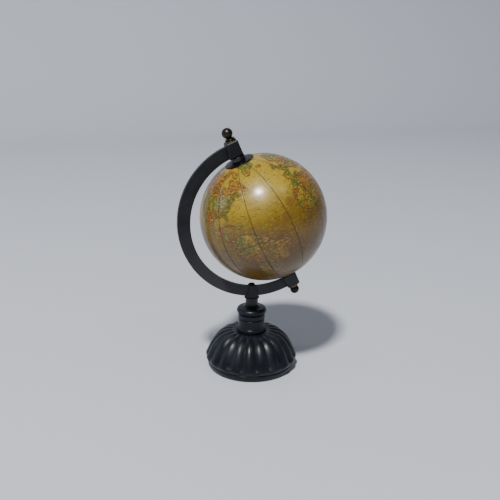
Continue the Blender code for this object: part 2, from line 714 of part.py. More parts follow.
def make_axle(axis):
    """The rod through both blocks and the ball, with what is threaded and slid on it."""
    neck_drop = math.sqrt(FINIAL_BALL_RADIUS**2 - FINIAL_NECK_RADIUS**2)
    finial_middle = FINIAL_SEAT + FINIAL_FOOT_HEIGHT + FINIAL_NECK_HEIGHT + neck_drop
    nut_middle = NUT_SEAT + math.sqrt(NUT_BALL_RADIUS**2 - NUT_SEAT_RADIUS**2)
    root = AXLE_ROOT + GAP
    top_seat = TOP_BLOCK_END + GAP
    bottom_seat = BOTTOM_BLOCK_END + GAP
    top_washer = tube_profile(TOP_WASHER_RADIUS, AXLE_BORE, top_seat, top_seat + TOP_WASHER_HEIGHT)
    bottom_washer = tube_profile(
        BOTTOM_WASHER_RADIUS, AXLE_BORE, bottom_seat, bottom_seat + BOTTOM_WASHER_HEIGHT
    )
    finial = finial_profile(finial_middle)
    rod = rod_profile(AXLE_RADIUS, root - nut_middle, finial_middle - root, AXLE_CHAMFER)
    upright = {
        "axle_rod": (turned_mesh("axle_rod", rod, SMALL_STEPS), "plain_steel"),
        "top_finial": (turned_mesh("top_finial", finial, SMALL_STEPS), "antique_brass"),
        "top_washer": (turned_mesh("top_washer", top_washer, SMALL_STEPS), "antique_brass"),
        "upper_spacer": (spacer_mesh("upper_spacer", TOP_BLOCK_START), "dark_steel"),
    }
    upside_down = {
        "ball_nut": (turned_mesh("ball_nut", ball_nut_profile(nut_middle), SMALL_STEPS), "antique_brass"),
        "bottom_washer": (turned_mesh("bottom_washer", bottom_washer, SMALL_STEPS), "antique_brass"),
        "lower_spacer": (spacer_mesh("lower_spacer", BOTTOM_BLOCK_START), "dark_steel"),
    }
    for name, (mesh, finish) in upright.items():
        add_part(name, mesh, finish, axis)
    for name, (mesh, finish) in upside_down.items():
        add_part(name, mesh, finish, axis, (0, 0, 0), (math.pi, 0, 0))


clear_scene()
parts = new_collection("desk_globe")
tools = new_collection("cutters")
polar_axis = bpy.data.objects.new("polar_axis", None)
parts.objects.link(polar_axis)
polar_axis.location = (GLOBE_OVERHANG, 0, GLOBE_HEIGHT)
polar_axis.rotation_euler = (0, -POLAR_TILT, 0)
shared_pin_bore = make_pin_bore()
make_base()
make_neck()
make_stud()
make_post(shared_pin_bore)
make_pin()
make_arm(polar_axis, shared_pin_bore)
make_ball(polar_axis)
make_axle(polar_axis)
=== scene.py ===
# %% [markdown]
# # A desk globe on a ribbed stand
# This lesson dresses a finished mechanical model of a small desk globe. The working parts come
# in first and never move: every piece that is made here is laid over one of them and turns with it.
# Sizes are in millimetres while a piece is being shaped, and a piece is scaled to metres at the end.

import json
import math

import bmesh
import bpy
from mathutils import Matrix, Vector, kdtree, noise


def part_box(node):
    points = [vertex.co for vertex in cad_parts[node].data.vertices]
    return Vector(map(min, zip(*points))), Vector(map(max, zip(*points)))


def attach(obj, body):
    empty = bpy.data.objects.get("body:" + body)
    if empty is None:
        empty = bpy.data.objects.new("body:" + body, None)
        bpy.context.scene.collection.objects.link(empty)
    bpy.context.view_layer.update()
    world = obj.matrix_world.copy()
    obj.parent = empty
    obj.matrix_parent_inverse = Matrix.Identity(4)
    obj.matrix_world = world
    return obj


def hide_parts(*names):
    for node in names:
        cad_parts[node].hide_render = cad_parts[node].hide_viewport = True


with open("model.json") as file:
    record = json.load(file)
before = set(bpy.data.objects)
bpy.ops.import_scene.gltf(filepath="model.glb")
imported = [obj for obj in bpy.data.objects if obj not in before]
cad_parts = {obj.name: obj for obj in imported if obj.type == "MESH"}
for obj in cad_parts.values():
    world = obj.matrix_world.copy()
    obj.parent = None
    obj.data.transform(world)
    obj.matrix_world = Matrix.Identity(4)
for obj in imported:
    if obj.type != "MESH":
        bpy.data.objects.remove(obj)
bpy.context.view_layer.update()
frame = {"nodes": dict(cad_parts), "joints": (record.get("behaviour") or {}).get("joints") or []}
MM = 0.001

# %% [markdown]
# The globe leans on its axle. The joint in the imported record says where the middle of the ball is
# and which way the axle points, so the lean and all heights can be read from there instead of being
# typed in again.

# %% Measure the ball, its lean and the stand
spin_joint = frame["joints"][0]
BALL_MIDDLE = Vector(spin_joint["pos_m"]) / MM
AXLE_WAY = Vector(spin_joint["axis"]).normalized()
LEAN = math.atan2(-AXLE_WAY.x, AXLE_WAY.z)
ON_AXLE = Matrix.Translation(BALL_MIDDLE) @ Matrix.Rotation(-LEAN, 4, "Y")
UPSIDE_DOWN = Matrix.Rotation(math.pi, 4, "X")


def low_high(node):
    """Lowest and highest corner of a working part, in millimetres."""
    low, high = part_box(node)
    return low / MM, high / MM


BALL_RADIUS = low_high("globe_north_shell")[1].y
print("ball radius", round(BALL_RADIUS, 2), "middle", [round(v, 1) for v in BALL_MIDDLE])
print("lean in degrees", round(math.degrees(LEAN), 2))

# %% [markdown]
# The floor, the lamps and the camera come before any piece, so that each new piece can be judged at
# once. A floor that rises into a wall behind the object has no horizon line to distract from it. One
# lamp high on the left gives the ball its bright spot and its shadow, and a dimmer one on the right
# and a wide one on the left fill the dark sides.

# %% Floor and backdrop
def plain_material(name, color, roughness):
    """A one-colour material, for what is not part of the object."""
    material = bpy.data.materials.new(name)
    material.use_nodes = True
    shader = material.node_tree.nodes["Principled BSDF"]
    shader.inputs["Base Color"].default_value = (*color, 1)
    shader.inputs["Roughness"].default_value = roughness
    return material


FLOOR_REACH = 3.0
WALL_DISTANCE = 1.9
WALL_HEIGHT = 2.6
SWEEP_RADIUS = 0.5
SWEEP_STEPS = 24
FLOOR_TONE = (0.52, 0.55, 0.62)
FLOOR_ROUGHNESS = 0.9


def make_floor():
    """A sheet that lies flat and then turns up in one sweep."""
    bm = bmesh.new()
    front = bm.verts.new((-FLOOR_REACH, -FLOOR_REACH, 0))
    bend = bm.verts.new((-FLOOR_REACH, WALL_DISTANCE - SWEEP_RADIUS, 0))
    bm.edges.new((front, bend))
    turn = bmesh.ops.spin(
        bm, geom=[bend], cent=(-FLOOR_REACH, WALL_DISTANCE - SWEEP_RADIUS, SWEEP_RADIUS),
        axis=(1, 0, 0), angle=math.pi / 2, steps=SWEEP_STEPS,
    )
    last = [item for item in turn["geom_last"] if isinstance(item, bmesh.types.BMVert)][0]
    top = bm.verts.new((-FLOOR_REACH, WALL_DISTANCE, WALL_HEIGHT))
    bm.edges.new((last, top))
    pulled = bmesh.ops.extrude_edge_only(bm, edges=bm.edges[:])
    moved = [item for item in pulled["geom"] if isinstance(item, bmesh.types.BMVert)]
    bmesh.ops.translate(bm, verts=moved, vec=(2 * FLOOR_REACH, 0, 0))
    mesh = bpy.data.meshes.new("studio_floor")
    bm.to_mesh(mesh)
    bm.free()
    mesh.shade_smooth()
    floor = bpy.data.objects.new("studio_floor", mesh)
    bpy.context.scene.collection.objects.link(floor)
    floor.data.materials.append(plain_material("pale_floor", FLOOR_TONE, FLOOR_ROUGHNESS))


make_floor()

# %% Lamps and camera
def add_lamp(name, way, distance, size, power, color):
    """A square lamp that looks at the ball from the given direction."""
    lamp = bpy.data.lights.new(name, "AREA")
    lamp.size = size
    lamp.energy = power
    lamp.color = color
    holder = bpy.data.objects.new(name, lamp)
    holder.location = BALL_MIDDLE * MM + Vector(way).normalized() * distance
    holder.rotation_euler = Vector(way).to_track_quat("Z", "Y").to_euler()
    bpy.context.scene.collection.objects.link(holder)


# Each lamp: the way to it from the ball, its distance and size in metres, its power and its colour.
LAMPS = {
    "key_lamp": ((-0.28, -0.44, 0.855), 3.2, 0.30, 150.0, (1.0, 0.985, 0.96)),
    "right_lamp": ((0.37, -0.42, 0.83), 2.5, 0.34, 3.2, (1.0, 0.98, 0.95)),
    "left_window": ((-0.92, 0.24, 0.32), 1.8, 0.55, 3.4, (0.92, 0.96, 1.0)),
}
for lamp_name, (way, distance, size, power, color) in LAMPS.items():
    add_lamp(lamp_name, way, distance, size, power, color)

AIR_TONE = (0.86, 0.88, 0.93, 1)
AIR_STRENGTH = 0.21
world = bpy.data.worlds.new("studio_air")
world.use_nodes = True
world.node_tree.nodes["Background"].inputs["Color"].default_value = AIR_TONE
world.node_tree.nodes["Background"].inputs["Strength"].default_value = AIR_STRENGTH
bpy.context.scene.world = world

FOCUS_LENGTHS = 752.0
FRAME_SIDE = 500.0
SENSOR = 36.0
CAMERA_PLACE = Vector((-0.19664, -0.69672, 0.36157))
VIEW_WAY = Vector((0.25511, 0.91616, -0.30915))
VIEW_RIGHT = Vector((0.96444, -0.26397, 0.01358))
camera_data = bpy.data.cameras.new("view")
camera_data.sensor_width = SENSOR
camera_data.lens = SENSOR * FOCUS_LENGTHS / FRAME_SIDE
camera = bpy.data.objects.new("view", camera_data)
view_up = VIEW_RIGHT.cross(VIEW_WAY)
axes = Matrix((VIEW_RIGHT, view_up, -VIEW_WAY)).transposed().to_4x4()
camera.matrix_world = Matrix.Translation(CAMERA_PLACE) @ axes
bpy.context.scene.collection.objects.link(camera)
bpy.context.scene.camera = camera
print("camera", round(camera_data.lens, 1), "mm")

# %% [markdown]
# Materials are small node trees. A few short helpers keep them readable: one adds a node, one does
# arithmetic, one turns a value into a soft mask and one mixes two colours. Each returns the socket
# that the next step needs.

# %% Node helpers
def add_node(tree, kind, **inputs):
    """A node with some of its inputs set. A socket is linked and a plain value is stored."""
    node = tree.nodes.new(kind)
    for name, value in inputs.items():
        feed(tree, node.inputs[name.replace("_", " ")], value)
    return node


def feed(tree, socket, value):
    """Links a socket to another one, or stores a plain value in it."""
    if isinstance(value, bpy.types.NodeSocket):
        tree.links.new(value, socket)
    elif isinstance(value, tuple) and len(value) == 3 and socket.type == "RGBA":
        socket.default_value = (*value, 1)
    else:
        socket.default_value = value


def sum_up(tree, operation, first, second=0.0, third=0.0, clamp=False):
    """One step of arithmetic."""
    node = tree.nodes.new("ShaderNodeMath")
    node.operation = operation
    node.use_clamp = clamp
    for socket, value in zip(node.inputs, (first, second, third)):
        feed(tree, socket, value)
    return node.outputs[0]


def soft_mask(tree, value, start, end, low=0.0, high=1.0):
    """Low before start, high after end, and a smooth change between them."""
    node = add_node(tree, "ShaderNodeMapRange", Value=value)
    node.interpolation_type = "SMOOTHSTEP"
    feed(tree, node.inputs["From Min"], start)
    feed(tree, node.inputs["From Max"], end)
    feed(tree, node.inputs["To Min"], low)
    feed(tree, node.inputs["To Max"], high)
    return node.outputs[0]


def mix_colors(tree, share, first, second, blend="MIX"):
    """Two colours mixed by a mask."""
    node = tree.nodes.new("ShaderNodeMix")
    node.data_type = "RGBA"
    node.blend_type = blend
    feed(tree, node.inputs[0], share)
    feed(tree, node.inputs[6], first)
    feed(tree, node.inputs[7], second)
    return node.outputs[2]


def own_place(tree, scale=1000.0):
    """Object coordinates, in millimetres unless another scale is asked for."""
    place = tree.nodes.new("ShaderNodeTexCoord")
    scaled = add_node(tree, "ShaderNodeMapping", Vector=place.outputs["Object"])
    scaled.inputs["Scale"].default_value = (scale, scale, scale)
    return scaled.outputs[0]


def noise_value(tree, place, scale, detail=3.0, roughness=0.55):
    """Noise from 0 to 1, where scale is in waves to the millimetre."""
    node = add_node(tree, "ShaderNodeTexNoise", Vector=place, Scale=scale, Detail=detail)
    node.inputs["Roughness"].default_value = roughness
    return node.outputs[0]


def stored(tree, name, kind="Fac"):
    """A value that a mesh carries on its points."""
    node = tree.nodes.new("ShaderNodeAttribute")
    node.attribute_name = name
    return node.outputs[kind]


def new_material(name):
    """An empty material with its shader."""
    material = bpy.data.materials.new(name)
    material.use_nodes = True
    tree = material.node_tree
    return material, tree, tree.nodes["Principled BSDF"]


def new_group(name, inputs, outputs):
    """A node group with number inputs, and outputs of the kinds given."""
    tree = bpy.data.node_groups.new(name, "ShaderNodeTree")
    for label, value in inputs.items():
        socket = tree.interface.new_socket(label, in_out="INPUT", socket_type="NodeSocketFloat")
        socket.default_value = value
    for label, kind in outputs.items():
        tree.interface.new_socket(label, in_out="OUTPUT", socket_type=kind)
    return tree, tree.nodes.new("NodeGroupInput"), tree.nodes.new("NodeGroupOutput")


def use_group(tree, group, **values):
    """A group placed in a material with its own values."""
    node = tree.nodes.new("ShaderNodeGroup")
    node.node_tree = group
    for label, value in values.items():
        feed(tree, node.inputs[label.replace("_", " ")], value)
    return node


# %% [markdown]
# Three effects show on nearly every finish of this globe. Handling rubs the paint thin along raised
# edges. A sand casting keeps a faint orange-peel skin under its paint. Dust settles in the hollows
# and on top. Each is one node group, so that a change to it shows everywhere at once.

# %% Rubbed edges
RUB_BREAKUP = 0.12  # how far noise moves the bend at which paint is rubbed through


def make_rubbed_edges():
    """Mask of raised edges, broken up by noise."""
    tree, given, result = new_group(
        "rubbed_edges",
        {"Start": 0.52, "End": 0.60, "Breakup": 0.6, "Waves": 0.5},
        {"Mask": "NodeSocketFloat"},
    )
    bend = tree.nodes.new("ShaderNodeNewGeometry").outputs["Pointiness"]
    rough = noise_value(tree, own_place(tree), given.outputs["Waves"], 4.0)
    shift = sum_up(tree, "MULTIPLY", sum_up(tree, "SUBTRACT", rough, 0.5), given.outputs["Breakup"])
    broken = sum_up(tree, "ADD", bend, sum_up(tree, "MULTIPLY", shift, RUB_BREAKUP))
    mask = soft_mask(tree, broken, given.outputs["Start"], given.outputs["End"])
    tree.links.new(mask, result.inputs["Mask"])
    return tree


# %% Cast skin
DRIFT_WAVES = 0.06  # waves to the millimetre


def make_cast_skin():
    """Fine lumps and a few pits, as a height, and a slow drift of tone."""
    tree, given, result = new_group(
        "cast_skin",
        {"Lump Waves": 0.9, "Pit Waves": 0.35, "Pits": 0.5},
        {"Height": "NodeSocketFloat", "Drift": "NodeSocketFloat"},
    )
    place = own_place(tree)
    lumps = noise_value(tree, place, given.outputs["Lump Waves"], 4.0, 0.6)
    pits = add_node(tree, "ShaderNodeTexVoronoi", Vector=place, Scale=given.outputs["Pit Waves"])
    hollow = soft_mask(tree, pits.outputs["Distance"], 0.05, 0.30, 1.0, 0.0)
    sunk = sum_up(tree, "MULTIPLY", hollow, given.outputs["Pits"])
    tree.links.new(sum_up(tree, "SUBTRACT", lumps, sunk), result.inputs["Height"])
    tree.links.new(noise_value(tree, place, DRIFT_WAVES, 3.0), result.inputs["Drift"])
    return tree


# %% Settled dust
FACING_UP = (0.45, 1.0)
HOLLOW_BEND = (0.49, 0.44)
DUST_ON_TOP = 0.6
DUST_IN_HOLLOWS = 0.7


def make_settled_dust():
    """Mask of dust: on what faces up and in what is hollow."""
    tree, given, result = new_group(
        "settled_dust",
        {"Amount": 0.3, "Waves": 0.25},
        {"Mask": "NodeSocketFloat"},
    )
    geometry = tree.nodes.new("ShaderNodeNewGeometry")
    ups = tree.nodes.new("ShaderNodeSeparateXYZ")
    tree.links.new(geometry.outputs["Normal"], ups.inputs[0])
    flat = soft_mask(tree, ups.outputs["Z"], *FACING_UP)
    hollow = soft_mask(tree, geometry.outputs["Pointiness"], *HOLLOW_BEND)
    cloud = noise_value(tree, own_place(tree), given.outputs["Waves"], 5.0, 0.65)
    patches = soft_mask(tree, cloud, 0.35, 0.75)
    on_top = sum_up(tree, "MULTIPLY", flat, DUST_ON_TOP)
    gathered = sum_up(tree, "MULTIPLY_ADD", hollow, DUST_IN_HOLLOWS, on_top)
    patchy = sum_up(tree, "MULTIPLY", gathered, patches)
    mask = sum_up(tree, "MULTIPLY", patchy, given.outputs["Amount"], clamp=True)
    tree.links.new(mask, result.inputs["Mask"])
    return tree


RUBBED_EDGES = make_rubbed_edges()
CAST_SKIN = make_cast_skin()
SETTLED_DUST = make_settled_dust()
print("shared effects:", [group.name for group in bpy.data.node_groups])

# %% [markdown]
# Painted and plated metal differ only in a few values, so one recipe serves them all: a base tone
# that drifts a little, a lighter tone on rubbed edges, painted light low on the arm that stands in
# for light thrown up from the table, a dusty tone in the hollows, roughness that drifts with the
# tone, and the cast skin as bump. Heights are in millimetres above the table.

# %% A recipe for painted and plated metal
DARKER, LIGHTER = 0.6, 1.5
DRIFT_RANGE = (0.3, 0.7)
# Heights between which painted light, standing in for light thrown up from the table, fades in lower down.
PAINTED_LIGHT_TOP = 165.0
PAINTED_LIGHT_FULL = 85.0
DUST_ROUGHNESS = 0.4


def make_metal_finish(name, tone, worn_and_bounce_tone, dusty, values):
    """A finish from three tones and a table of amounts."""
    material, tree, shader = new_material(name)
    skin = use_group(
        tree, CAST_SKIN, Lump_Waves=values["lumps"], Pit_Waves=values["pits"], Pits=values["pit_depth"],
    )
    rubbed = use_group(tree, RUBBED_EDGES, Start=values["rub_start"], End=values["rub_end"])
    dust = use_group(tree, SETTLED_DUST, Amount=values["dust"])
    darker = tuple(channel * DARKER for channel in tone)
    lighter = tuple(channel * LIGHTER for channel in tone)
    drift = soft_mask(tree, skin.outputs["Drift"], *DRIFT_RANGE)
    color = mix_colors(tree, drift, darker, lighter)
    # Painted light: lower down the tone turns lighter, standing in for light thrown up from the table.
    heights = tree.nodes.new("ShaderNodeSeparateXYZ")
    feed(tree, heights.inputs[0], own_place(tree))
    painted_bounce = soft_mask(
        tree, heights.outputs["Z"], PAINTED_LIGHT_TOP, PAINTED_LIGHT_FULL, 0.0, values["painted_bounce"],
    )
    color = mix_colors(tree, painted_bounce, color, worn_and_bounce_tone)
    rub = sum_up(tree, "MULTIPLY", rubbed.outputs["Mask"], values["rub"])
    color = mix_colors(tree, rub, color, worn_and_bounce_tone)
    color = mix_colors(tree, dust.outputs["Mask"], color, dusty)
    feed(tree, shader.inputs["Base Color"], color)
    smooth = soft_mask(
        tree, skin.outputs["Drift"], *DRIFT_RANGE, values["gloss_low"], values["gloss_high"],
    )
    matt = sum_up(tree, "MULTIPLY", dust.outputs["Mask"], DUST_ROUGHNESS)
    rough = sum_up(tree, "ADD", smooth, matt, clamp=True)
    feed(tree, shader.inputs["Roughness"], rough)
    shader.inputs["Metallic"].default_value = values["metal"]
    shader.inputs["Specular IOR Level"].default_value = values["shine"]
    bump = add_node(tree, "ShaderNodeBump", Height=skin.outputs["Height"], Strength=values["bump"])
    bump.inputs["Distance"].default_value = values["bump_mm"] * MM
    feed(tree, shader.inputs["Normal"], bump.outputs[0])
    return material


BLACK_LACQUER = make_metal_finish(
    "black_lacquer", (0.0050, 0.0066, 0.0100), (0.045, 0.043, 0.042), (0.050, 0.051, 0.054),
    {"lumps": 0.35, "pits": 0.18, "pit_depth": 0.4, "rub_start": 0.54, "rub_end": 0.64, "rub": 0.25,
     "dust": 0.14, "gloss_low": 0.30, "gloss_high": 0.42, "metal": 0.0, "shine": 0.25, "painted_bounce": 0.0,
     "bump": 0.22, "bump_mm": 0.2},
)
# The dark casting gets painted light low down, standing in for light thrown up from the table.
DARK_CASTING = make_metal_finish(
    "dark_casting", (0.0075, 0.0078, 0.0098), (0.075, 0.073, 0.076), (0.055, 0.055, 0.058),
    {"lumps": 0.8, "pits": 0.30, "pit_depth": 0.6, "rub_start": 0.56, "rub_end": 0.66, "rub": 0.0,
     "dust": 0.18, "gloss_low": 0.40, "gloss_high": 0.56, "metal": 0.2, "shine": 0.32, "painted_bounce": 0.34,
     "bump": 0.5, "bump_mm": 0.2},
)
ANTIQUE_BRASS = make_metal_finish(
    "antique_brass", (0.032, 0.027, 0.020), (0.24, 0.19, 0.12), (0.035, 0.030, 0.026),
    {"lumps": 1.2, "pits": 0.5, "pit_depth": 0.5, "rub_start": 0.51, "rub_end": 0.62, "rub": 0.7,
     "dust": 0.3, "gloss_low": 0.27, "gloss_high": 0.42, "metal": 1.0, "shine": 0.5, "painted_bounce": 0.0,
     "bump": 0.4, "bump_mm": 0.15},
)
DARK_STEEL = make_metal_finish(
    "dark_steel", (0.018, 0.018, 0.020), (0.24, 0.24, 0.25), (0.035, 0.032, 0.028),
    {"lumps": 1.4, "pits": 0.6, "pit_depth": 0.5, "rub_start": 0.52, "rub_end": 0.64, "rub": 0.7,
     "dust": 0.3, "gloss_low": 0.26, "gloss_high": 0.44, "metal": 1.0, "shine": 0.5, "painted_bounce": 0.0,
     "bump": 0.45, "bump_mm": 0.15},
)
PLAIN_STEEL = make_metal_finish(
    "plain_steel", (0.42, 0.42, 0.43), (0.60, 0.60, 0.60), (0.20, 0.18, 0.15),
    {"lumps": 1.6, "pits": 0.8, "pit_depth": 0.3, "rub_start": 0.52, "rub_end": 0.62, "rub": 0.5,
     "dust": 0.2, "gloss_low": 0.28, "gloss_high": 0.42, "metal": 1.0, "shine": 0.5, "painted_bounce": 0.0,
     "bump": 0.3, "bump_mm": 0.1},
)

# %% [markdown]
# A piece is shaped as a bmesh in millimetres about its own axis. One last helper puts it in place,
# scales it, turns its faces outwards, shades it and hands it over: it rides on a working body and
# hides the working part that it stands for.

# %% Finish a piece
SOFTEST_CORNER = math.radians(32)
WELD = 0.002


def finish_piece(bm, name, place, body, material, stands_for=(), bevel=0.0, segments=3):
    """Turns a shaped bmesh into a piece of the globe."""
    bmesh.ops.remove_doubles(bm, verts=bm.verts[:], dist=WELD)
    bmesh.ops.recalc_face_normals(bm, faces=bm.faces[:])
    bmesh.ops.transform(bm, matrix=Matrix.Scale(MM, 4) @ place, verts=bm.verts[:])
    mesh = bpy.data.meshes.new(name)
    bm.to_mesh(mesh)
    bm.free()
    mesh.shade_smooth()
    mesh.set_sharp_from_angle(angle=SOFTEST_CORNER)
    piece = bpy.data.objects.new(name, mesh)
    bpy.context.scene.collection.objects.link(piece)
    mesh.materials.append(material)
    if bevel:
        corner = piece.modifiers.new("Soft corners", "BEVEL")
        corner.width = bevel * MM
        corner.segments = segments
        corner.limit_method = "ANGLE"
        corner.angle_limit = SOFTEST_CORNER
        corner.harden_normals = True
    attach(piece, body)
    if stands_for:
        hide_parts(*stands_for)
    print(name, "has", len(mesh.vertices), "points")
    return piece


# %% [markdown]
# Most of the stand is lathe work: drawn as half an outline and turned about its axis. Round stretches
# of an outline are arcs or one smooth curve, and the crisp corners are left for a bevel at the end,
# because a bevel keeps the same width all the way round.

# %% Turn an outline
def arc_points(radius, start, end, count, middle=(0.0, 0.0)):
    """Points on a circle, angles in degrees from the outward direction."""
    points = []
    for index in range(count + 1):
        angle = math.radians(start + (end - start) * index / count)
        points.append((middle[0] + radius * math.cos(angle), middle[1] + radius * math.sin(angle)))
    return points


def curve_points(start, pull_start, pull_end, end, count):
    """Points on one smooth curve that is pulled towards two others."""
    points = []
    for index in range(count + 1):
        t = index / count
        weights = ((1 - t) ** 3, 3 * t * (1 - t) ** 2, 3 * t * t * (1 - t), t**3)
        corners = (start, pull_start, pull_end, end)
        points.append(tuple(sum(w * c[axis] for w, c in zip(weights, corners)) for axis in (0, 1)))
    return points


def turn_outline(outline, steps, bored=False):
    """An outline of (radius, height) turned about Z. A bored piece is a closed loop."""
    bm = bmesh.new()
    points = [bm.verts.new((radius, 0, height)) for radius, height in outline]
    sides = [bm.edges.new(pair) for pair in zip(points, points[1:])]
    if bored:
        sides.append(bm.edges.new((points[-1], points[0])))
    bmesh.ops.spin(
        bm, geom=points + sides, cent=(0, 0, 0), axis=(0, 0, 1),
        angle=2 * math.pi, steps=steps, use_merge=True,
    )
    bmesh.ops.remove_doubles(bm, verts=bm.verts[:], dist=WELD)
    return bm


# %% [markdown]
# The base is an iron casting shaped like a gathered cushion: twenty round ribs run from under the
# neck to a rolled lip. It could be carved rib by rib, but it is simpler to turn the plain dome with
# many steps and then sink the surface between the ribs with one formula. A cosine with its negative
# half folded up gives round ribs that meet in a sharp valley.

# %% The ribbed base
GAP = 0.3
FELT_HIGH = low_high("felt_pad")[1]
DRUM_LOW, DRUM_HIGH = low_high("neck_drum")
RING_LOW, RING_HIGH = low_high("neck_ring")
POST_LOW, POST_HIGH = low_high("fork_post")
DOME_RADIUS = 47.4
DOME_TOP = DRUM_LOW.z - GAP
DOME_SEAT = DRUM_HIGH.x
WAIST = 12.6
SHOULDER_PULL_IN, SHOULDER_PULL_UP = 9.9, 3.4
FLANK_PULL_IN, FLANK_PULL_UP = 3.6, 7.4
DOME_STEPS = 44
LIP_RADIUS = DOME_RADIUS - 1.7
LIP_HEIGHT = 7.0
LIP_ROUND = 1.1
GROOVE = 0.7
RIM_RADIUS = LIP_RADIUS - 2.1
RECESS = FELT_HIGH.x + GAP
STUD_HOLE = 3.3
BOSS_RADIUS = 9.0
BOSS_BOTTOM = 30.1
HOLLOW_WAIST = 36.9
HOLLOW_SHOULDER = 34.4
RIBS = 20
RIB_STEPS = 18
RIB_DEPTH = 2.4
RIB_FADE = 8.0
RIB_FOOT = 8.0
INWARD = -0.02


def smooth_rise(value, low, high):
    """0 below low, 1 above high, and an even rise between them."""
    share = min(max((value - low) / (high - low), 0.0), 1.0)
    return share * share * (3 - 2 * share)


def base_outline():
    """From the stud's hole over the dome, round the lip, and back through the hollow inside."""
    dome = curve_points(
        (DOME_SEAT, DOME_TOP), (DOME_RADIUS - SHOULDER_PULL_IN, DOME_TOP + SHOULDER_PULL_UP),
        (DOME_RADIUS - FLANK_PULL_IN, WAIST + FLANK_PULL_UP), (DOME_RADIUS, WAIST), DOME_STEPS,
    )
    under = curve_points(
        (DOME_RADIUS, WAIST), (DOME_RADIUS + 0.55, WAIST - 1.3),
        (DOME_RADIUS - 0.1, LIP_HEIGHT + 2.3), (LIP_RADIUS - 0.05, LIP_HEIGHT + GROOVE * 0.5), 10,
    )
    lip = arc_points(LIP_ROUND, 60, -10, 10, (LIP_RADIUS - LIP_ROUND, LIP_HEIGHT - LIP_ROUND))
    foot = curve_points(
        lip[-1], (LIP_RADIUS - 0.35, LIP_HEIGHT * 0.45),
        (RIM_RADIUS + 1.0, GAP + 0.9), (RIM_RADIUS, GAP), 8,
    )
    hollow = curve_points(
        (RECESS - 0.3, FELT_HIGH.z + GAP), (HOLLOW_WAIST, WAIST),
        (HOLLOW_SHOULDER, BOSS_BOTTOM + 3.5), (BOSS_RADIUS, BOSS_BOTTOM + 4.0), 14,
    )
    return (
        [(STUD_HOLE, DOME_TOP), (DOME_SEAT * 0.6, DOME_TOP)] + dome + under[1:] + lip + foot[1:]
        + [(RECESS, GAP), (RECESS, FELT_HIGH.z + GAP)] + hollow
        + [(BOSS_RADIUS, BOSS_BOTTOM), (STUD_HOLE, BOSS_BOTTOM)]
    )


def sink_between_ribs(bm):
    """Sinks the outer skin between the ribs. Inner points are left where they are."""
    bmesh.ops.recalc_face_normals(bm, faces=bm.faces[:])
    bm.normal_update()
    skin = [(vert, vert.normal.copy()) for vert in bm.verts if vert.co.z > LIP_HEIGHT + GROOVE]
    for vert, normal in skin:
        radius = math.hypot(vert.co.x, vert.co.y)
        if normal.x * vert.co.x + normal.y * vert.co.y < INWARD * radius:
            continue
        valley = 1 - abs(math.cos(RIBS * math.atan2(vert.co.y, vert.co.x) / 2))
        rise = min(max((vert.co.z - LIP_HEIGHT - GROOVE) / RIB_FOOT, 0.0), 1.0)
        reach = smooth_rise(radius, DOME_SEAT, DOME_SEAT + RIB_FADE)
        vert.co -= normal * RIB_DEPTH * (radius / DOME_RADIUS) * valley * rise * reach


base = turn_outline(base_outline(), RIBS * RIB_STEPS, bored=True)
sink_between_ribs(base)
finish_piece(base, "ribbed_base", Matrix(), "stand", BLACK_LACQUER, ["base_dome"])

# %% [markdown]
# The neck is two lathe-turned pieces on one long stud: a drum that stands on a rounded foot, and a
# ring with a fat bead that dips towards the post. They are drawn as two outlines with the hole for
# the stud, so that the seam between them stays visible.

# %% The drum and the ring
DRUM_FOOT = DRUM_HIGH.x
DRUM_SIDE = 13.5
FOOT_HEIGHT = 4.4
FOOT_ROUND = 1.0
SHOULDER_ROUND = 1.3
RING_BAND = 13.85
RING_BAND_HEIGHT = 5.0
BEAD_RADIUS = RING_HIGH.x
BEAD_HEIGHT = 6.8
COVE_RADIUS = 12.0
POST_RADIUS = 6.4
NECK_STEPS = 128
DRUM_COVE = 0.5
RING_GROOVE = 0.55
RING_EDGE = 0.6


def drum_outline():
    """A straight drum on a rounded foot."""
    tall = DRUM_HIGH.z - DRUM_LOW.z
    top_round = arc_points(FOOT_ROUND, 90, 0, 6, (DRUM_FOOT - FOOT_ROUND, FOOT_HEIGHT - FOOT_ROUND))
    low_round = arc_points(FOOT_ROUND, 0, -70, 6, (DRUM_FOOT - FOOT_ROUND, FOOT_ROUND))
    cove = arc_points(DRUM_COVE, 180, 270, 4, (DRUM_SIDE + DRUM_COVE, FOOT_HEIGHT + DRUM_COVE))
    lid = arc_points(SHOULDER_ROUND, 90, 0, 8, (DRUM_SIDE - SHOULDER_ROUND, tall - SHOULDER_ROUND))
    inside = [(DRUM_FOOT - FOOT_ROUND, 0), (STUD_HOLE, 0), (STUD_HOLE, tall)]
    return lid + cove + top_round + low_round + inside


def ring_outline():
    """A band, a fat bead above it, and a cove that dips to the post."""
    tall = RING_HIGH.z - RING_LOW.z
    bead_top = RING_BAND_HEIGHT + BEAD_HEIGHT
    half = BEAD_HEIGHT / 2
    cove = curve_points(
        (POST_RADIUS, tall), (POST_RADIUS + 1.2, tall - 2.4),
        (COVE_RADIUS - 3.0, bead_top + 0.3), (COVE_RADIUS, bead_top), 12,
    )
    bead = [
        (BEAD_RADIUS - half + half * out, RING_BAND_HEIGHT + half + half * up)
        for out, up in arc_points(1.0, 78, -62, 18)
    ]
    groove = arc_points(
        RING_GROOVE, 90, 0, 4, (RING_BAND - RING_GROOVE, RING_BAND_HEIGHT - RING_GROOVE),
    )
    edge = arc_points(RING_EDGE, 0, -90, 4, (RING_BAND - RING_EDGE, RING_EDGE))
    inside = [(STUD_HOLE, 0), (STUD_HOLE, tall)]
    return cove + bead + [(RING_BAND - 0.9, RING_BAND_HEIGHT)] + groove + edge + inside


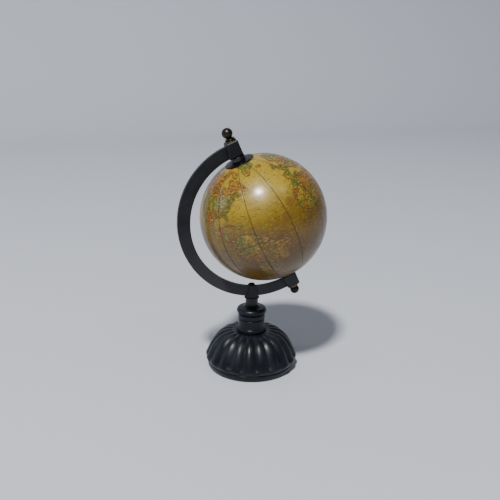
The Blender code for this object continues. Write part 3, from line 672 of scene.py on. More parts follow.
finish_piece(
    turn_outline(drum_outline(), NECK_STEPS, bored=True), "turned_drum",
    Matrix.Translation((0, 0, DRUM_LOW.z)), "stand", BLACK_LACQUER, ["neck_drum"],
)
finish_piece(
    turn_outline(ring_outline(), NECK_STEPS, bored=True), "turned_ring",
    Matrix.Translation((0, 0, RING_LOW.z)), "stand", BLACK_LACQUER, ["neck_ring"],
)

# %% [markdown]
# The post is turned first and slotted afterwards, as it would be at the bench: a straight cut down
# the middle leaves two ears with domed tips, and the arm drops in between them. A Boolean with a
# plain box makes the same cut. The result is stored as a mesh, and the box is thrown away.

# %% The slotted post
ARM_THICKNESS = 4.6
FLANGE_TOP = 76.2
SLOT_FLOOR = FLANGE_TOP + 0.9
EAR_HEIGHT = POST_HIGH.z - SLOT_FLOOR
EAR_TIP = 4.7
EAR_DOME = 3.1
FLANGE_RADIUS = POST_HIGH.x
FLANGE_HEIGHT = 1.2
STUD_ROOM = 3.0
POST_STEPS = 72
POST_CORNER = 0.25
CUTTER_REACH = 20
CUTTER_HEIGHT = 40


def post_outline():
    """Domed ears, a plain stretch, a narrow flange and the shank, with a blind hole from below."""
    shoulder = SLOT_FLOOR + EAR_HEIGHT - EAR_DOME
    dome = [(EAR_TIP * out, shoulder + EAR_DOME * up) for out, up in arc_points(1.0, 90, 0, 14)]
    flare = curve_points(
        (EAR_TIP, shoulder), (EAR_TIP + 0.35, shoulder - 2.6),
        (POST_RADIUS - 0.6, SLOT_FLOOR + 3.4), (POST_RADIUS + 0.4, FLANGE_TOP + 0.1), 12,
    )
    edge = FLANGE_HEIGHT / 2
    flange = arc_points(edge, 80, -80, 8, (FLANGE_RADIUS - edge, FLANGE_TOP - edge))
    return (
        dome + flare[1:] + flange + [(POST_RADIUS, FLANGE_TOP - FLANGE_HEIGHT), (POST_RADIUS, POST_LOW.z)]
        + [(STUD_HOLE, POST_LOW.z), (STUD_HOLE, SLOT_FLOOR - STUD_ROOM), (0, SLOT_FLOOR - STUD_ROOM)]
    )


def mesh_object(bm, name):
    """A bmesh as a loose object."""
    bmesh.ops.recalc_face_normals(bm, faces=bm.faces[:])
    mesh = bpy.data.meshes.new(name)
    bm.to_mesh(mesh)
    bm.free()
    loose = bpy.data.objects.new(name, mesh)
    bpy.context.scene.collection.objects.link(loose)
    return loose


def box_between(low, high):
    """A box as a bmesh, between two corners."""
    bm = bmesh.new()
    bmesh.ops.create_cube(bm, size=1.0)
    size = [b - a for a, b in zip(low, high)]
    middle = [(a + b) / 2 for a, b in zip(low, high)]
    fit = Matrix.Translation(middle) @ Matrix.Diagonal((*size, 1))
    bmesh.ops.transform(bm, matrix=fit, verts=bm.verts[:])
    return bm


def cut_or_join(body_bm, tools, operation):
    """One bmesh cut by others, or joined to them, as a new bmesh."""
    body_object = mesh_object(body_bm, "workpiece")
    tool_objects = [mesh_object(tool, "bench_tool") for tool in tools]
    for tool in tool_objects:
        step = body_object.modifiers.new("Bench work", "BOOLEAN")
        step.operation = operation
        step.solver = "EXACT"
        step.object = tool
    bpy.context.view_layer.update()
    shown = body_object.evaluated_get(bpy.context.evaluated_depsgraph_get())
    mesh = bpy.data.meshes.new_from_object(shown)
    result = bmesh.new()
    result.from_mesh(mesh)
    for spare in [body_object, *tool_objects]:
        bpy.data.objects.remove(spare)
    bpy.data.meshes.remove(mesh)
    return result


HALF_SLOT = ARM_THICKNESS / 2 + GAP
slot_cutter = box_between(
    (-CUTTER_REACH, -HALF_SLOT, SLOT_FLOOR), (CUTTER_REACH, HALF_SLOT, SLOT_FLOOR + CUTTER_HEIGHT),
)
post = cut_or_join(turn_outline(post_outline(), POST_STEPS), [slot_cutter], "DIFFERENCE")
finish_piece(
    post, "slotted_post", Matrix(), "stand", DARK_CASTING, ["fork_post"],
    bevel=POST_CORNER,
)

# %% [markdown]
# A plain pin holds the arm between the ears. Its ends are peened over a little, so its outline is
# two shallow domes on a straight shank. It is turned standing up and then laid across the post.

# %% The pin
PIN_LOW, PIN_HIGH = low_high("fork_pin")
PIN_HEIGHT = (PIN_LOW.z + PIN_HIGH.z) / 2
PIN_HALF = PIN_HIGH.y
PIN_RADIUS = PIN_HIGH.x
PIN_DOME = 0.5
PIN_STEPS = 40


def pin_outline():
    """A shank with a shallow dome at each end."""
    dome = [
        (PIN_RADIUS * out, PIN_HALF - PIN_DOME + PIN_DOME * up) for out, up in arc_points(1.0, 90, 0, 6)
    ]
    return dome + [(radius, -height) for radius, height in reversed(dome)]


finish_piece(
    turn_outline(pin_outline(), PIN_STEPS), "cross_pin",
    Matrix.Translation((0, 0, PIN_HEIGHT)) @ Matrix.Rotation(math.pi / 2, 4, "X"),
    "stand", DARK_CASTING, ["fork_pin"],
)

# %% [markdown]
# The arm is one casting: a flat bent bar with a square block at each end for the axle. Its inner and
# outer edges are arcs of two circles that don't share a middle, so it is a little wider at the top.
# Each edge is one point spun about its own middle. The two arcs are bridged into a strip, the strip
# is pushed out to the bar's thickness, and the blocks are joined on.

# %% The bent bar
INNER_RADIUS = 69.9
OUTER_RADIUS = 81.1
INNER_MIDDLE = (-4.8, -2.85)
OUTER_MIDDLE = (-6.2, -2.0)
BAR_END_BACK = 3.0
BAR_STEPS = 120


def bar_end(radius, middle, pole):
    """Angle at which an edge of the bar ends, inside the block, in radians from +X."""
    sideways = middle[0] * math.cos(LEAN) + middle[1] * math.sin(LEAN)
    turn = math.asin((-BAR_END_BACK - sideways) / radius)
    return math.pi / 2 + LEAN - turn if pole > 0 else 3 * math.pi / 2 + LEAN + turn


def bar_edge(bm, radius, middle):
    """One edge of the bar: a point spun from the top block round to the bottom one."""
    start = bar_end(radius, middle, 1)
    end = bar_end(radius, middle, -1)
    front = -ARM_THICKNESS / 2
    out, up = radius * math.cos(start), radius * math.sin(start)
    first = bm.verts.new((middle[0] + out, front, middle[1] + up))
    before = set(bm.edges)
    bmesh.ops.spin(
        bm, geom=[first], cent=(middle[0], front, middle[1]), axis=(0, -1, 0),
        angle=end - start, steps=BAR_STEPS,
    )
    return [edge for edge in bm.edges if edge not in before]


def bent_bar():
    """The strip between the two edges, pushed out to its thickness."""
    bm = bmesh.new()
    edges = bar_edge(bm, INNER_RADIUS, INNER_MIDDLE) + bar_edge(bm, OUTER_RADIUS, OUTER_MIDDLE)
    strip = bmesh.ops.bridge_loops(bm, edges=edges)["faces"]
    pushed = bmesh.ops.extrude_face_region(bm, geom=strip)["geom"]
    moved = [item for item in pushed if isinstance(item, bmesh.types.BMVert)]
    bmesh.ops.translate(bm, verts=moved, vec=(0, ARM_THICKNESS, 0))
    return bm


# %% The blocks and the finished arm
BLOCK_HALF = 6.3
BLOCK_BACK = -8.8
# Each block: where it starts and ends along the axle, and how far it reaches on its free side.
TOP_BLOCK = (68.9, 84.3, 5.9)
BOTTOM_BLOCK = (67.8, 81.5, 6.8)
BLOCK_TAPER = 2.5
AXLE_HOLE = 2.3
BLOCK_CHAMFER = 0.8
DRILL_REACH = 110
DRILL_STEPS = 48
ARM_CORNER = 0.35


def axle_block(start, end, free_side, pole):
    """A block across one end of the bar, narrower at its far end, with its corners taken off."""
    low, high = (start, end) if pole > 0 else (-end, -start)
    bm = box_between((BLOCK_BACK, -BLOCK_HALF, low), (free_side, BLOCK_HALF, high))
    for vert in bm.verts:
        if vert.co.x < 0 and abs(vert.co.z) > (start + end) / 2:
            vert.co.x += BLOCK_TAPER
    bmesh.ops.bevel(
        bm, geom=bm.edges[:], offset=BLOCK_CHAMFER, affect="EDGES", segments=1, profile=0.5, material=-1,
    )
    bmesh.ops.rotate(bm, verts=bm.verts[:], cent=(0, 0, 0), matrix=Matrix.Rotation(-LEAN, 3, "Y"))
    return bm


def axle_drill():
    """The drill for both axle holes."""
    side = [(AXLE_HOLE, DRILL_REACH), (AXLE_HOLE, -DRILL_REACH)]
    bm = turn_outline([(0, DRILL_REACH), *side, (0, -DRILL_REACH)], DRILL_STEPS)
    bmesh.ops.rotate(bm, verts=bm.verts[:], cent=(0, 0, 0), matrix=Matrix.Rotation(-LEAN, 3, "Y"))
    return bm


blocks = [axle_block(*TOP_BLOCK, 1), axle_block(*BOTTOM_BLOCK, -1)]
arm = cut_or_join(bent_bar(), blocks, "UNION")
arm = cut_or_join(arm, [axle_drill()], "DIFFERENCE")
finish_piece(
    arm, "cast_arm", Matrix.Translation(BALL_MIDDLE), "stand", DARK_CASTING,
    ["meridian_arm"], bevel=ARM_CORNER, segments=2,
)

# %% [markdown]
# What turns with the axle is small lathe work in old brass and dark steel: the finial on top, the
# ball nut below, a washer under each, and a collar between each block and the ball. All are drawn
# along the axle with the middle of the ball as zero. The lower ones are drawn the same way up and
# then turned upside down.

# %% The finial, the nut, the washers and the collars
CAP_TOP = 64.7
CAP_RADIUS = 14.8
SPACER_RADIUS = 7.0
# Each washer: its radius, its height and where it sits.
TOP_WASHER = (5.6, 1.2, TOP_BLOCK[1] + GAP)
LOW_WASHER = (5.2, 2.0, BOTTOM_BLOCK[1] + GAP)
FINIAL_SEAT = TOP_WASHER[2] + TOP_WASHER[1] + GAP
FINIAL_BALL = 5.3
FINIAL_NECK = 2.9
FINIAL_FOOT = 4.6
NUT_SEAT = LOW_WASHER[2] + LOW_WASHER[1] + GAP
NUT_BALL = 4.65
NUT_SEAT_RADIUS = 2.9
BLIND_HOLE = 1.6
FOOT_LIFT, NECK_LIFT = 1.3, 0.9
FOOT_ROLL = 0.62
NECK_WAIST = 0.45
WASHER_ROUND = 0.4
COLLAR_ROUND = 0.5
AXLE_STEPS = 72


def finial_outline():
    """A ball on a short waisted neck and a flared foot with a rolled edge."""
    drop = math.sqrt(FINIAL_BALL**2 - FINIAL_NECK**2)
    middle = FINIAL_SEAT + FOOT_LIFT + NECK_LIFT + drop
    lowest = -math.degrees(math.acos(FINIAL_NECK / FINIAL_BALL))
    ball = arc_points(FINIAL_BALL, 90, lowest, 30, (0, middle))
    neck = arc_points(NECK_WAIST, 130, 230, 6, (FINIAL_NECK + 0.25, middle - drop - NECK_WAIST))
    foot = arc_points(FOOT_ROLL, 60, -60, 8, (FINIAL_FOOT - FOOT_ROLL, FINIAL_SEAT + 0.65))
    return ball + neck + foot + [
        (FINIAL_FOOT - 0.5, FINIAL_SEAT), (AXLE_HOLE, FINIAL_SEAT),
        (AXLE_HOLE, middle - BLIND_HOLE), (0, middle - BLIND_HOLE),
    ]


def ball_nut_outline():
    """A ball that is filed flat where it sits."""
    middle = NUT_SEAT + math.sqrt(NUT_BALL**2 - NUT_SEAT_RADIUS**2)
    lowest = -math.degrees(math.acos(NUT_SEAT_RADIUS / NUT_BALL))
    ball = arc_points(NUT_BALL, 90, lowest, 26, (0, middle))
    return ball + [(AXLE_HOLE, NUT_SEAT), (AXLE_HOLE, middle - BLIND_HOLE), (0, middle - BLIND_HOLE)]


def washer_outline(radius, height, seat):
    """A punched washer: rounded on top, crisp below."""
    middle = (radius - WASHER_ROUND, seat + height - WASHER_ROUND)
    return arc_points(WASHER_ROUND, 90, 0, 4, middle) + [
        (radius, seat), (AXLE_HOLE, seat), (AXLE_HOLE, seat + height),
    ]


def collar_outline(block_start):
    """A collar whose foot is hollowed to sit on the dished cap."""
    seat = CAP_TOP + GAP
    top = block_start - GAP
    rim = arc_points(COLLAR_ROUND, 90, 0, 4, (SPACER_RADIUS - COLLAR_ROUND, top - COLLAR_ROUND))
    outer = math.degrees(math.acos(SPACER_RADIUS / seat))
    inner = math.degrees(math.acos(AXLE_HOLE / seat))
    return rim + arc_points(seat, outer, inner, 6) + [(AXLE_HOLE, top)]


BRASS = ("antique_brass", ANTIQUE_BRASS)
STEEL = ("dark_steel", DARK_STEEL)
AXLE_PIECES = (
    ("ball_finial", finial_outline(), "top_finial", False, BRASS, False),
    ("finial_washer", washer_outline(*TOP_WASHER), "top_washer", False, BRASS, True),
    ("upper_collar", collar_outline(TOP_BLOCK[0]), "upper_spacer", False, STEEL, True),
    ("round_nut", ball_nut_outline(), "ball_nut", True, BRASS, False),
    ("nut_washer", washer_outline(*LOW_WASHER), "bottom_washer", True, BRASS, True),
    ("lower_collar", collar_outline(BOTTOM_BLOCK[0]), "lower_spacer", True, STEEL, True),
)
for piece_name, outline, node, below, (slot, finish), bored in AXLE_PIECES:
    place = ON_AXLE @ UPSIDE_DOWN if below else ON_AXLE
    shape = turn_outline(outline, AXLE_STEPS, bored)
    finish_piece(shape, piece_name, place, "axle", finish, [node])

# %% [markdown]
# A dished steel cap covers each pole, where the points of the paper strips would otherwise lift. It
# is a pressing with an even wall and a rolled edge, so both faces are arcs about the middle of the
# ball and the edge is a small half circle.

# %% The polar caps
CAP_WALL = 0.9
CAP_STEPS = 120


def cap_outline():
    """Two arcs about the ball's middle, joined by a rolled edge."""
    inner = CAP_TOP - CAP_WALL
    middle = CAP_TOP - CAP_WALL / 2
    edge_angle = math.degrees(math.acos((CAP_RADIUS - CAP_WALL / 2) / middle))
    hub = math.degrees(math.acos(AXLE_HOLE / CAP_TOP))
    edge = (middle * math.cos(math.radians(edge_angle)), middle * math.sin(math.radians(edge_angle)))
    rolled = arc_points(CAP_WALL / 2, edge_angle, edge_angle - 180, 8, edge)
    outside = arc_points(CAP_TOP, hub, edge_angle, 16)
    inside = arc_points(inner, edge_angle, hub, 16)
    return outside[:-1] + rolled + inside[1:]


for pole, turned in (("north", Matrix()), ("south", UPSIDE_DOWN)):
    finish_piece(
        turn_outline(cap_outline(), CAP_STEPS, bored=True), f"{pole}_dished_cap", ON_AXLE @ turned,
        "globe", DARK_STEEL, [f"{pole}_polar_cap"],
    )

# %% [markdown]
# The ball is covered with a printed map in twelve paper strips, called gores, that run from pole to
# pole. Each strip here is a real sheet on the ball. The map itself is drawn from plain geography: a
# list of coast points for each land, in degrees east and north, and for colours one named point in
# the middle of each country. A strip's points then store how far they are from the nearest coast,
# border, river and sea route, and the material turns those distances into printed lines, which stay
# sharp however close one looks.

# %% Coasts, in degrees east and north
COASTS = {
    "north_america": """-168 66 -163 67 -166 68.3 -162 70 -156 71.3 -150 70.5 -141 69.7 -136 69 -128 70
        -123 69.5 -115 68.5 -109 68 -102 67.8 -96 68.2 -94 71.5 -91 69.5 -88 68.5 -85 69.7 -81.5 69.5
        -81.5 67.5 -86 66.3 -87 64.5 -93 62 -94.5 60 -94.5 58.7 -92.5 57 -88 56.5 -82.3 55.2 -82 53
        -79.5 51.3 -79 54.5 -76.6 57 -78.5 59 -77.5 62.4 -73.5 62.3 -69.5 61 -69.5 59 -66 58.8
        -64.5 60.3 -61.5 57 -57.5 54.5 -55.7 52.2 -59.5 50.3 -66.5 50.2 -70.5 47 -65 49 -64.5 47.5
        -61 45.6 -66 43.6 -67 45 -70.5 43.2 -70 41.8 -74 40.6 -75.5 38 -76 35.2 -79 33.5 -81.3 31
        -80.3 27 -81 25.2 -82.7 28 -84 30 -88 30.3 -90.5 29.2 -94.5 29.5 -97.3 27.5 -97.8 22.5
        -95.5 18.7 -91.5 18.5 -90.5 21 -87 21.4 -88 17.5 -88.5 15.8 -83.3 15 -83.7 11 -81.5 8.9
        -79.5 9.5 -77.3 8.5 -78.3 7.5 -80.3 7.3 -83 8.3 -85.7 10 -87.6 13 -92 14.5 -95 16 -101 17.5
        -105.5 20.3 -106 23 -109.3 26 -112.8 31 -114.7 31.5 -112 27.5 -109.5 23 -112.2 25.5 -115 28.5
        -117.2 33 -120.5 34.5 -122.5 37.5 -124.3 40.4 -124 46.3 -123 49 -128 51.5 -130.5 55 -134 58
        -139.5 59.7 -146 60.7 -151.5 59.5 -151 61.2 -154 59 -158 57.5 -164.5 54.6 -160 58.5 -165 61
        -165 64.4 -161.5 64.5""",
    "greenland": """-73 78.2 -66 80.5 -55 82.3 -32 83.5 -20 82 -18 77.5 -20.5 74 -22 71 -25.5 70 -32 68
        -38 65.7 -41 63 -43.5 60 -48.5 61 -52 65 -53.5 68 -51 70 -55 72.5 -58.5 75.5 -67 76""",
    "south_america": """-77.3 8.5 -75.5 10.7 -71.7 12.3 -71.3 11 -68 11.7 -64.5 10.2 -61.8 10.7 -60 8.5
        -57 6 -51.5 4.3 -50 0.5 -48.5 -0.8 -44.3 -2.5 -39.5 -3 -35.3 -5.3 -34.9 -8 -37.2 -11.5 -39 -15
        -39.8 -19.5 -42 -22.9 -45.5 -23.8 -48.5 -26 -48.8 -28.5 -52.3 -32.5 -54.9 -34.9 -58.3 -34.2
        -57 -36.5 -58 -38.3 -62.2 -39 -65 -41 -65 -43.5 -67.5 -46 -66 -48 -69 -51 -68.3 -53.5
        -65.3 -54.8 -69.5 -55.3 -74 -52.5 -75.5 -48.5 -73 -43 -73.6 -38 -71.6 -33 -71.5 -28 -70.2 -21
        -70.5 -18.3 -76 -14 -79 -8.5 -81.3 -5 -80 -2.5 -80.5 0.5 -77.3 4 -77.8 7""",
    "africa": """-6 35.8 -2 35.2 3 36.9 9.8 37.3 11 33.5 15.3 32.3 19.5 30.4 21.8 32.9 25.2 31.6
        29.5 30.9 32.4 31.3 33.5 28 35.5 24 37.3 20.5 39.5 15.5 43 12.3 44.5 10.4 51.2 11.9 49 7 46 3
        42 -1 39.3 -5 40.6 -11 40.5 -15 36 -18.5 35.3 -23.5 32.8 -26.5 30.5 -31 27 -33.7 20 -34.8
        18.3 -32.5 15.2 -27 12 -18 13.8 -11 12.2 -5.5 9.3 -1 9.5 3.8 6 4.3 3.5 6.4 -2 4.8 -7.7 4.4
        -13 8.5 -16.8 12.5 -17.4 14.8 -16.2 19 -17 21 -14.5 26 -9.8 29.8 -9.5 32.5""",
    "eurasia": """-9.2 38.7 -9 43 -1.8 43.4 -1.2 46 -4.7 48.5 1.6 50.5 4 52 8.5 54 8.2 57 10.5 57.6
        10.5 55 14 54 19.5 54.5 21 57 24 58.5 23.5 59.3 29.5 60 22.5 60 21.5 62.5 25 65 22 65.5
        17.5 61.5 18.8 59.8 16 56.3 13 55.5 11 59 8 58 5.2 60.5 6 62.5 12 66 17 69 25.5 71 31 70 41 67
        34 66.5 38 64.2 41 66 44 66 44 68.3 54 68.5 60 69 67.5 68.8 68 72 73 71.5 76 72.3 81 73
        88 75.5 98 76 104 77.6 113 74 122 73 129 71 133 71.7 140 72.5 150 71.5 160 69.8 170 70 180 69
        190 66 186 64.5 178 62.5 170 60 163 58.5 163 56 156.7 51 155.8 56.5 160 60.5 155 59.3 143 59.3
        137 54.5 141 52 140 48 135.5 44 131 42.8 129.5 40.5 127.5 39.5 129.3 36 126.5 34.5 126 37.5
        124.5 39.8 121.5 39 121.5 40.8 118 39 119 37.2 122.5 37 119.5 35 121.8 31.5 120.5 27 117 23.5
        110.5 21.2 108 21.5 105.8 19 109 13 106.8 10.4 105 9 101 13 99.5 11 103 5 104 1.4 101 2.8
        98.5 8 98.5 12 97.5 16.5 94.5 16 92 21.5 89 21.8 86.8 21 82 16.8 80.2 13 79.8 10.2 77.6 8.1
        74.8 13 72.8 19 72.7 21.5 69.5 21.3 67 24.8 61.5 25.2 57 26.8 51.5 27.8 49 30.2 48 29.7
        50.3 26.5 51.5 24.3 54.5 24.2 56.3 26 59.7 22.5 55 17.5 52 15.7 45 12.8 43.3 12.8 42.5 16.5
        39 21.5 35 28 34.3 29.5 32.4 30 32.4 31.3 34.5 31.6 36 35.5 36 36.8 32.5 36.1 27.5 36.8
        26.5 39.3 29.5 40.8 31.5 41.2 35 42 41.5 41.5 39 44.5 37.5 46.8 33.5 46 30.5 46.3 28.5 43.8
        28 41.8 26.3 40.8 23 40.3 24 38 22.8 36.5 21.3 37.8 19.5 40.5 19 42 14.5 45 12.4 45.3 12.5 44
        14 42.5 18.5 40 17 39 15.7 38 15.7 40 12.3 41.7 10.3 43.8 8.5 44.4 6.5 43.2 3.2 43.2 3 41.8
        -0.3 39.3 -0.7 37.7 -4.5 36.7 -5.5 36.1 -6.5 37 -9 37""",
    "australia": """113.8 -22.5 114 -26.5 115.8 -32 115.2 -34.3 118 -35 123.5 -34 129 -31.7 131.5 -31.5
        135.5 -34.8 138 -33 138.3 -35.5 140.5 -38 144.5 -38.2 147 -38.8 150 -37.4 151.5 -33
        153.5 -28.5 153 -25.2 149.5 -22.2 146.3 -19 145.3 -15 142.6 -10.8 141.5 -13.5 140.8 -17.4
        137 -15.8 135.5 -15 136.8 -12.2 132.5 -11.4 130 -13.2 129 -15 126 -14 122.3 -18.2 117 -20.7""",
    "antarctica": """-180 -78 -160 -78 -150 -77 -135 -74.5 -110 -74.5 -95 -73 -75 -73 -68 -68 -57 -63.3
        -61 -67 -62 -75 -45 -78 -30 -77 -18 -72 0 -70 20 -70 40 -69 50 -66.5 70 -69 80 -67.5 95 -66.5
        115 -66.5 135 -66.3 150 -68.5 170 -72 165 -78 180 -78 180 -90 -180 -90""",
    "britain": """-5.5 50.1 -3 50.6 1.3 51.2 1.7 52.7 0 53.5 -1.6 55.5 -2 57.6 -4 57.7 -3.2 58.6 -5 58.5
        -6 56.8 -4.8 55.5 -3.2 54.5 -4.5 53.3 -5 51.8 -3 51.4""",
    "ireland": "-6.2 52.2 -10 51.7 -9.8 54 -8 55.2 -5.8 54.6",
    "iceland": "-22.5 64 -19 63.4 -13.8 65 -16 66.5 -22.5 66.3 -24 65.5",
    "svalbard": "12 79 17 80 25 80 20 78 16.5 76.7",
    "novaya_zemlya": "52 71 57 70.8 55.5 73 68 76.7 60 76",
    "cuba": "-84.8 21.9 -81 23.1 -77 21.8 -74.3 20.2 -77.5 19.9 -78 20.8",
    "hispaniola": "-74.3 18.4 -71.5 17.8 -68.4 18.6 -70 19.9 -73 19.9",
    "newfoundland": "-59.3 47.8 -53 46.8 -53 48.7 -55.8 51.5 -57.5 50",
    "baffin": "-66 62 -62 66.5 -68 70 -78 73 -88 73.5 -85 70 -78 70 -73 67 -73 64.5",
    "ellesmere": "-90 76.5 -78 76.3 -75 79 -62 82.3 -75 83 -92 81.5",
    "victoria_island": "-117 71 -115 69.3 -105 68.8 -104 71 -107 73.3 -117 73",
    "madagascar": "49.3 -12 50.4 -15.8 47 -25 44 -24 43.4 -21.5 44.5 -16.5",
    "ceylon": "80 9.6 81.8 7.5 80.6 6 79.8 7.5",
    "sumatra": "95.3 5.6 98 4 103.5 0 106 -3 105.5 -5.8 102 -4 98.7 1.5",
    "java": "105.3 -6.8 108.5 -6.8 114.4 -7.8 114.4 -8.7 108 -7.8",
    "borneo": "109 1.5 111.5 2.5 113.5 4 116.8 7 119 5.2 117.8 1 116 -3.8 110.5 -3 109 -0.5",
    "celebes": """119.5 -5.5 119.5 -0.5 120.5 1.2 125 1.6 121 -1 123.3 -1 121.5 -2 122.5 -4.5 121 -3
        120.4 -5.5""",
    "new_guinea": """131 -0.8 134 -0.8 135 -3.3 138 -1.7 145 -4.3 147.8 -6 150.8 -10.3 147 -9.5 143 -9
        138 -8.3 133 -4 132 -2.8""",
    "luzon": "120.5 16.2 121 18.5 122.2 18.3 121.6 16 124 13 120.8 13.8",
    "mindanao": "122 7 123.5 8.6 125.5 9.7 126.5 7.3 125.4 5.7 124 6.8",
    "formosa": "120.2 23 121.6 25.2 121 22",
    "hainan": "108.8 19 110.8 20 110 18.4",
    "honshu": "131 34 135.5 33.6 139.5 35 141 37 142 39.5 141 41.4 140 40 139 37.8 136.8 37 135 35.6",
    "kyushu": "130 31.3 132 33.5 134.5 34.2 130.5 33.7",
    "hokkaido": "140.2 41.7 143.3 42.2 145.5 43.3 142 45.4 141.3 43.2",
    "sakhalin": "142 46.2 143.5 49.3 143.3 52.5 142.5 54.2 142 51",
    "new_zealand_north": """173 -34.6 175.8 -36.8 178.4 -37.8 176.8 -40.3 175.2 -41.5 174.8 -39.8
        174 -38""",
    "new_zealand_south": "172.7 -40.6 174.2 -41.6 170.8 -45.8 168.4 -46.6 166.6 -46 170 -43",
    "tasmania": "145 -40.8 148.3 -41 147.8 -43.2 146 -43.4",
}
LAKES = {
    "superior": "-92 46.8 -88 48.8 -84.5 46.6 -88 46.9",
    "michigan": "-87.8 42 -88 44.5 -85.5 46 -86.3 42",
    "huron": "-84 46 -80 45.5 -82 43",
    "caspian": "47 45 49.5 46.8 53 45.5 51 44.5 53.5 41 53.8 37 50 37.3 49.3 40.3",
    "aral": "58.5 45.5 61 46 60 43.7",
    "victoria": "31.8 0.3 34 -0.2 33.3 -2.4 31.7 -2.3",
    "baikal": "104 51.6 109.8 55.7 109.5 54",
}

# %% [markdown]
# Rivers, mountain chains and sea routes are open lines, each a few points long. Countries are coloured
# by the nearest of these middles, which gives plausible borders without drawing any of them.

# %% Rivers, mountains, routes and countries
RIVERS = """-95 47 -91 43 -90.5 38.5 -89.5 35 -91 31 -89.3 29.2; -111 47 -104 48 -97 43 -92 38.7
    -76 -4.5 -70 -4 -65 -3 -60 -3.2 -55 -2 -50.5 -0.8; -67 3 -67.5 7 -62 8.5
    -48 -18 -53 -23 -57 -27.5 -60 -32 -58.5 -34.2; -65 -12 -61 -6 -58.5 -3.2; -48 -15 -49 -8 -48.8 -1
    32.5 1 31.5 8 32.5 15.5 31 19.5 32.8 24 31 30; 26 -11 26 -2 22 2 17 -1.5 12.5 -6
    -10 10 -3 16.5 3 13 6 5; 23 -13 26 -17.8 30 -15.7 36 -18.5; 9 48 17 48 19 45 28.5 45.2
    34 57 45 56 48.5 50 48 46; 85 52 78 60 66 62 68 67; 95 52 91 60 87 70; 106 54 121 60 128 64 126 72
    118 50 127 50 135 48.5 140 53; 92 34 100 26.5 111 30.5 121 31.6; 97 35 104 37 108 41 111 35 118 37.8
    80 32 73 35 68 25; 78 30 84 25.5 90 22.5; 98 30 101 20 105 14.5 106.5 10.2; -117 61 -124 65 -134 69
    -76 44.3 -70 47.3; -106 37 -104 29.5 -97.2 26; -107 40 -114 35.5 -114.7 32; 147 -36 142 -34 139 -35"""
MOUNTAINS = """-148 63 -130 60 -120 52 -112 45 -106 38 -105 27 -100 19
    -73 8 -77 0 -77 -10 -69 -17 -70 -30 -72 -45; 6 45 13 47; 72 36 82 29.5 95 29
    60 50 60 66; -8 31 5 35; -85 34 -72 44; 146 -18 152 -30 147 -37; 38 44 48 41
    70 41 90 43; 7 60 18 68; 18 -32 29 -29; 37 14 36 0 34 -10; 90 50 100 52 130 56"""
ROUTES = """-74 40 -62 28 -50 19 -39 6 -30 -8 -8 -24 18 -34; -80 25 -60 24 -43 22 -33 13 -26 2
    -5 48 -30 47 -50 44 -70 42; -10 37 -30 32 -60 22 -78 12; -90 29 -84 22 -64 18; -35 -8 -20 4 -18 20 -12 38
    -43 -23 -20 -30 18 -34; 18 -34 50 -30 80 -10 80 5; 45 12 60 12 76 10; 80 5 95 4 105 -8 115 -32
    115 -36 150 -46 173 -42; -80 0 -110 -8 -150 -18 -175 -35; -122 37 -155 22 -180 14; 180 14 150 20 140 34
    -125 48 -150 52 -179 50; 179 50 160 48 142 42; -76 -15 -90 -35 -80 -58 -60 -58"""
TINTS = {
    "orange": (0.48, 0.155, 0.010),
    "green": (0.095, 0.185, 0.015),
    "rose": (0.30, 0.070, 0.022),
    "straw": (0.40, 0.26, 0.020),
    "umber": (0.17, 0.080, 0.014),
    "olive": (0.17, 0.15, 0.014),
}
COUNTRIES = {
    "orange": """-133 64 -120 56 -88 52 -82 62 -72 52 -95 66 -72 68 -62 54 -106 28 -82 9 -18 65 -54 4
        -52 -20 2.5 28 -11 10.5 17 27 5 23 30 15 38 0.5 17.5 -12 24 -30 9 62 20 43.5 69 29.5 67 48
        130 65 104 47 127.5 37.5 102 4.5 114 1 144 -22 90 -75 -8.5 39.7""",
    "green": """-118 42 -96 40 -78 39 -85 13 -71 19 -42 74 -74 4 -70 1 -58 -23 -68 -42 -6.5 32
        -14.5 14.5 -5.5 7.5 -1.5 12.5 9 17 39.5 8.5 23 -3 37 -15 17 -22 46.5 -19.5 -4 40 -8 53.3
        12.5 43 26.5 64 25 46 43.5 33 66 34 100 63 114 30 96 21 101.5 0 141 -5 135 -30 172 -42 2 46""",
    "rose": """-104 56 -99 31 -90 15 -79 22 -42 -9 -76 -11 -65 -13 -38 -6 -71.5 -30 -13.5 24 -9.5 7
        8 9.5 18.5 15 46 5 35 -6 24 -22 30 -19 -2 53.5 19.5 52 22 39.5 42 56 54 33 78 22 155 66 85 41
        126 46 138 36 106.5 16 110 -7.3 122.5 12.5 121 -26 147 -32""",
    "straw": """-152 64 -106 39 -99 19 -66 7 -64 -30 -56 -33 -10 20 29.5 26 32.5 1.5 12 -1 27.5 -14
        34 -21 10.5 51.3 16 62 31 49 34 39 46 24 88 31 75 62 108 37 101 16 121 -2 133 -20 145 -37
        0 -80 -61 -5 -48 -13""",
    "umber": """-90 33 -58.5 5 -78.5 -1.5 -57 -3 -50 -5 -73 -45 -3 18 -1.2 7.8 12.5 5.5 9.5 34 180 -80
        60 60""",
    "olive": "-112 34 -84 34 -88 44 -70 45 -60 -16 3 8 20.5 6.5 -8 14 5 46 50 42 118 24 142 -8",
}
print("lands:", len(COASTS), "lakes:", len(LAKES))

# %% [markdown]
# Distances are measured in millimetres on the ball, so every land outline is first turned from
# degrees into points on the sphere, close enough together for a nearest-point search. The outlines
# have few points, so a little seeded noise makes them ragged, as real coasts are.

# %% Distances on the ball
DEGREE = math.radians(1)
POINT_SPACING = 0.35
RAGGED = 0.55
BAY_WAVES = 0.5
INLET_WAVES = 1.3


def on_sphere(east, north):
    """A place in degrees as a direction from the middle of the ball."""
    flat = math.cos(north * DEGREE)
    return Vector((flat * math.cos(east * DEGREE), flat * math.sin(east * DEGREE), math.sin(north * DEGREE)))


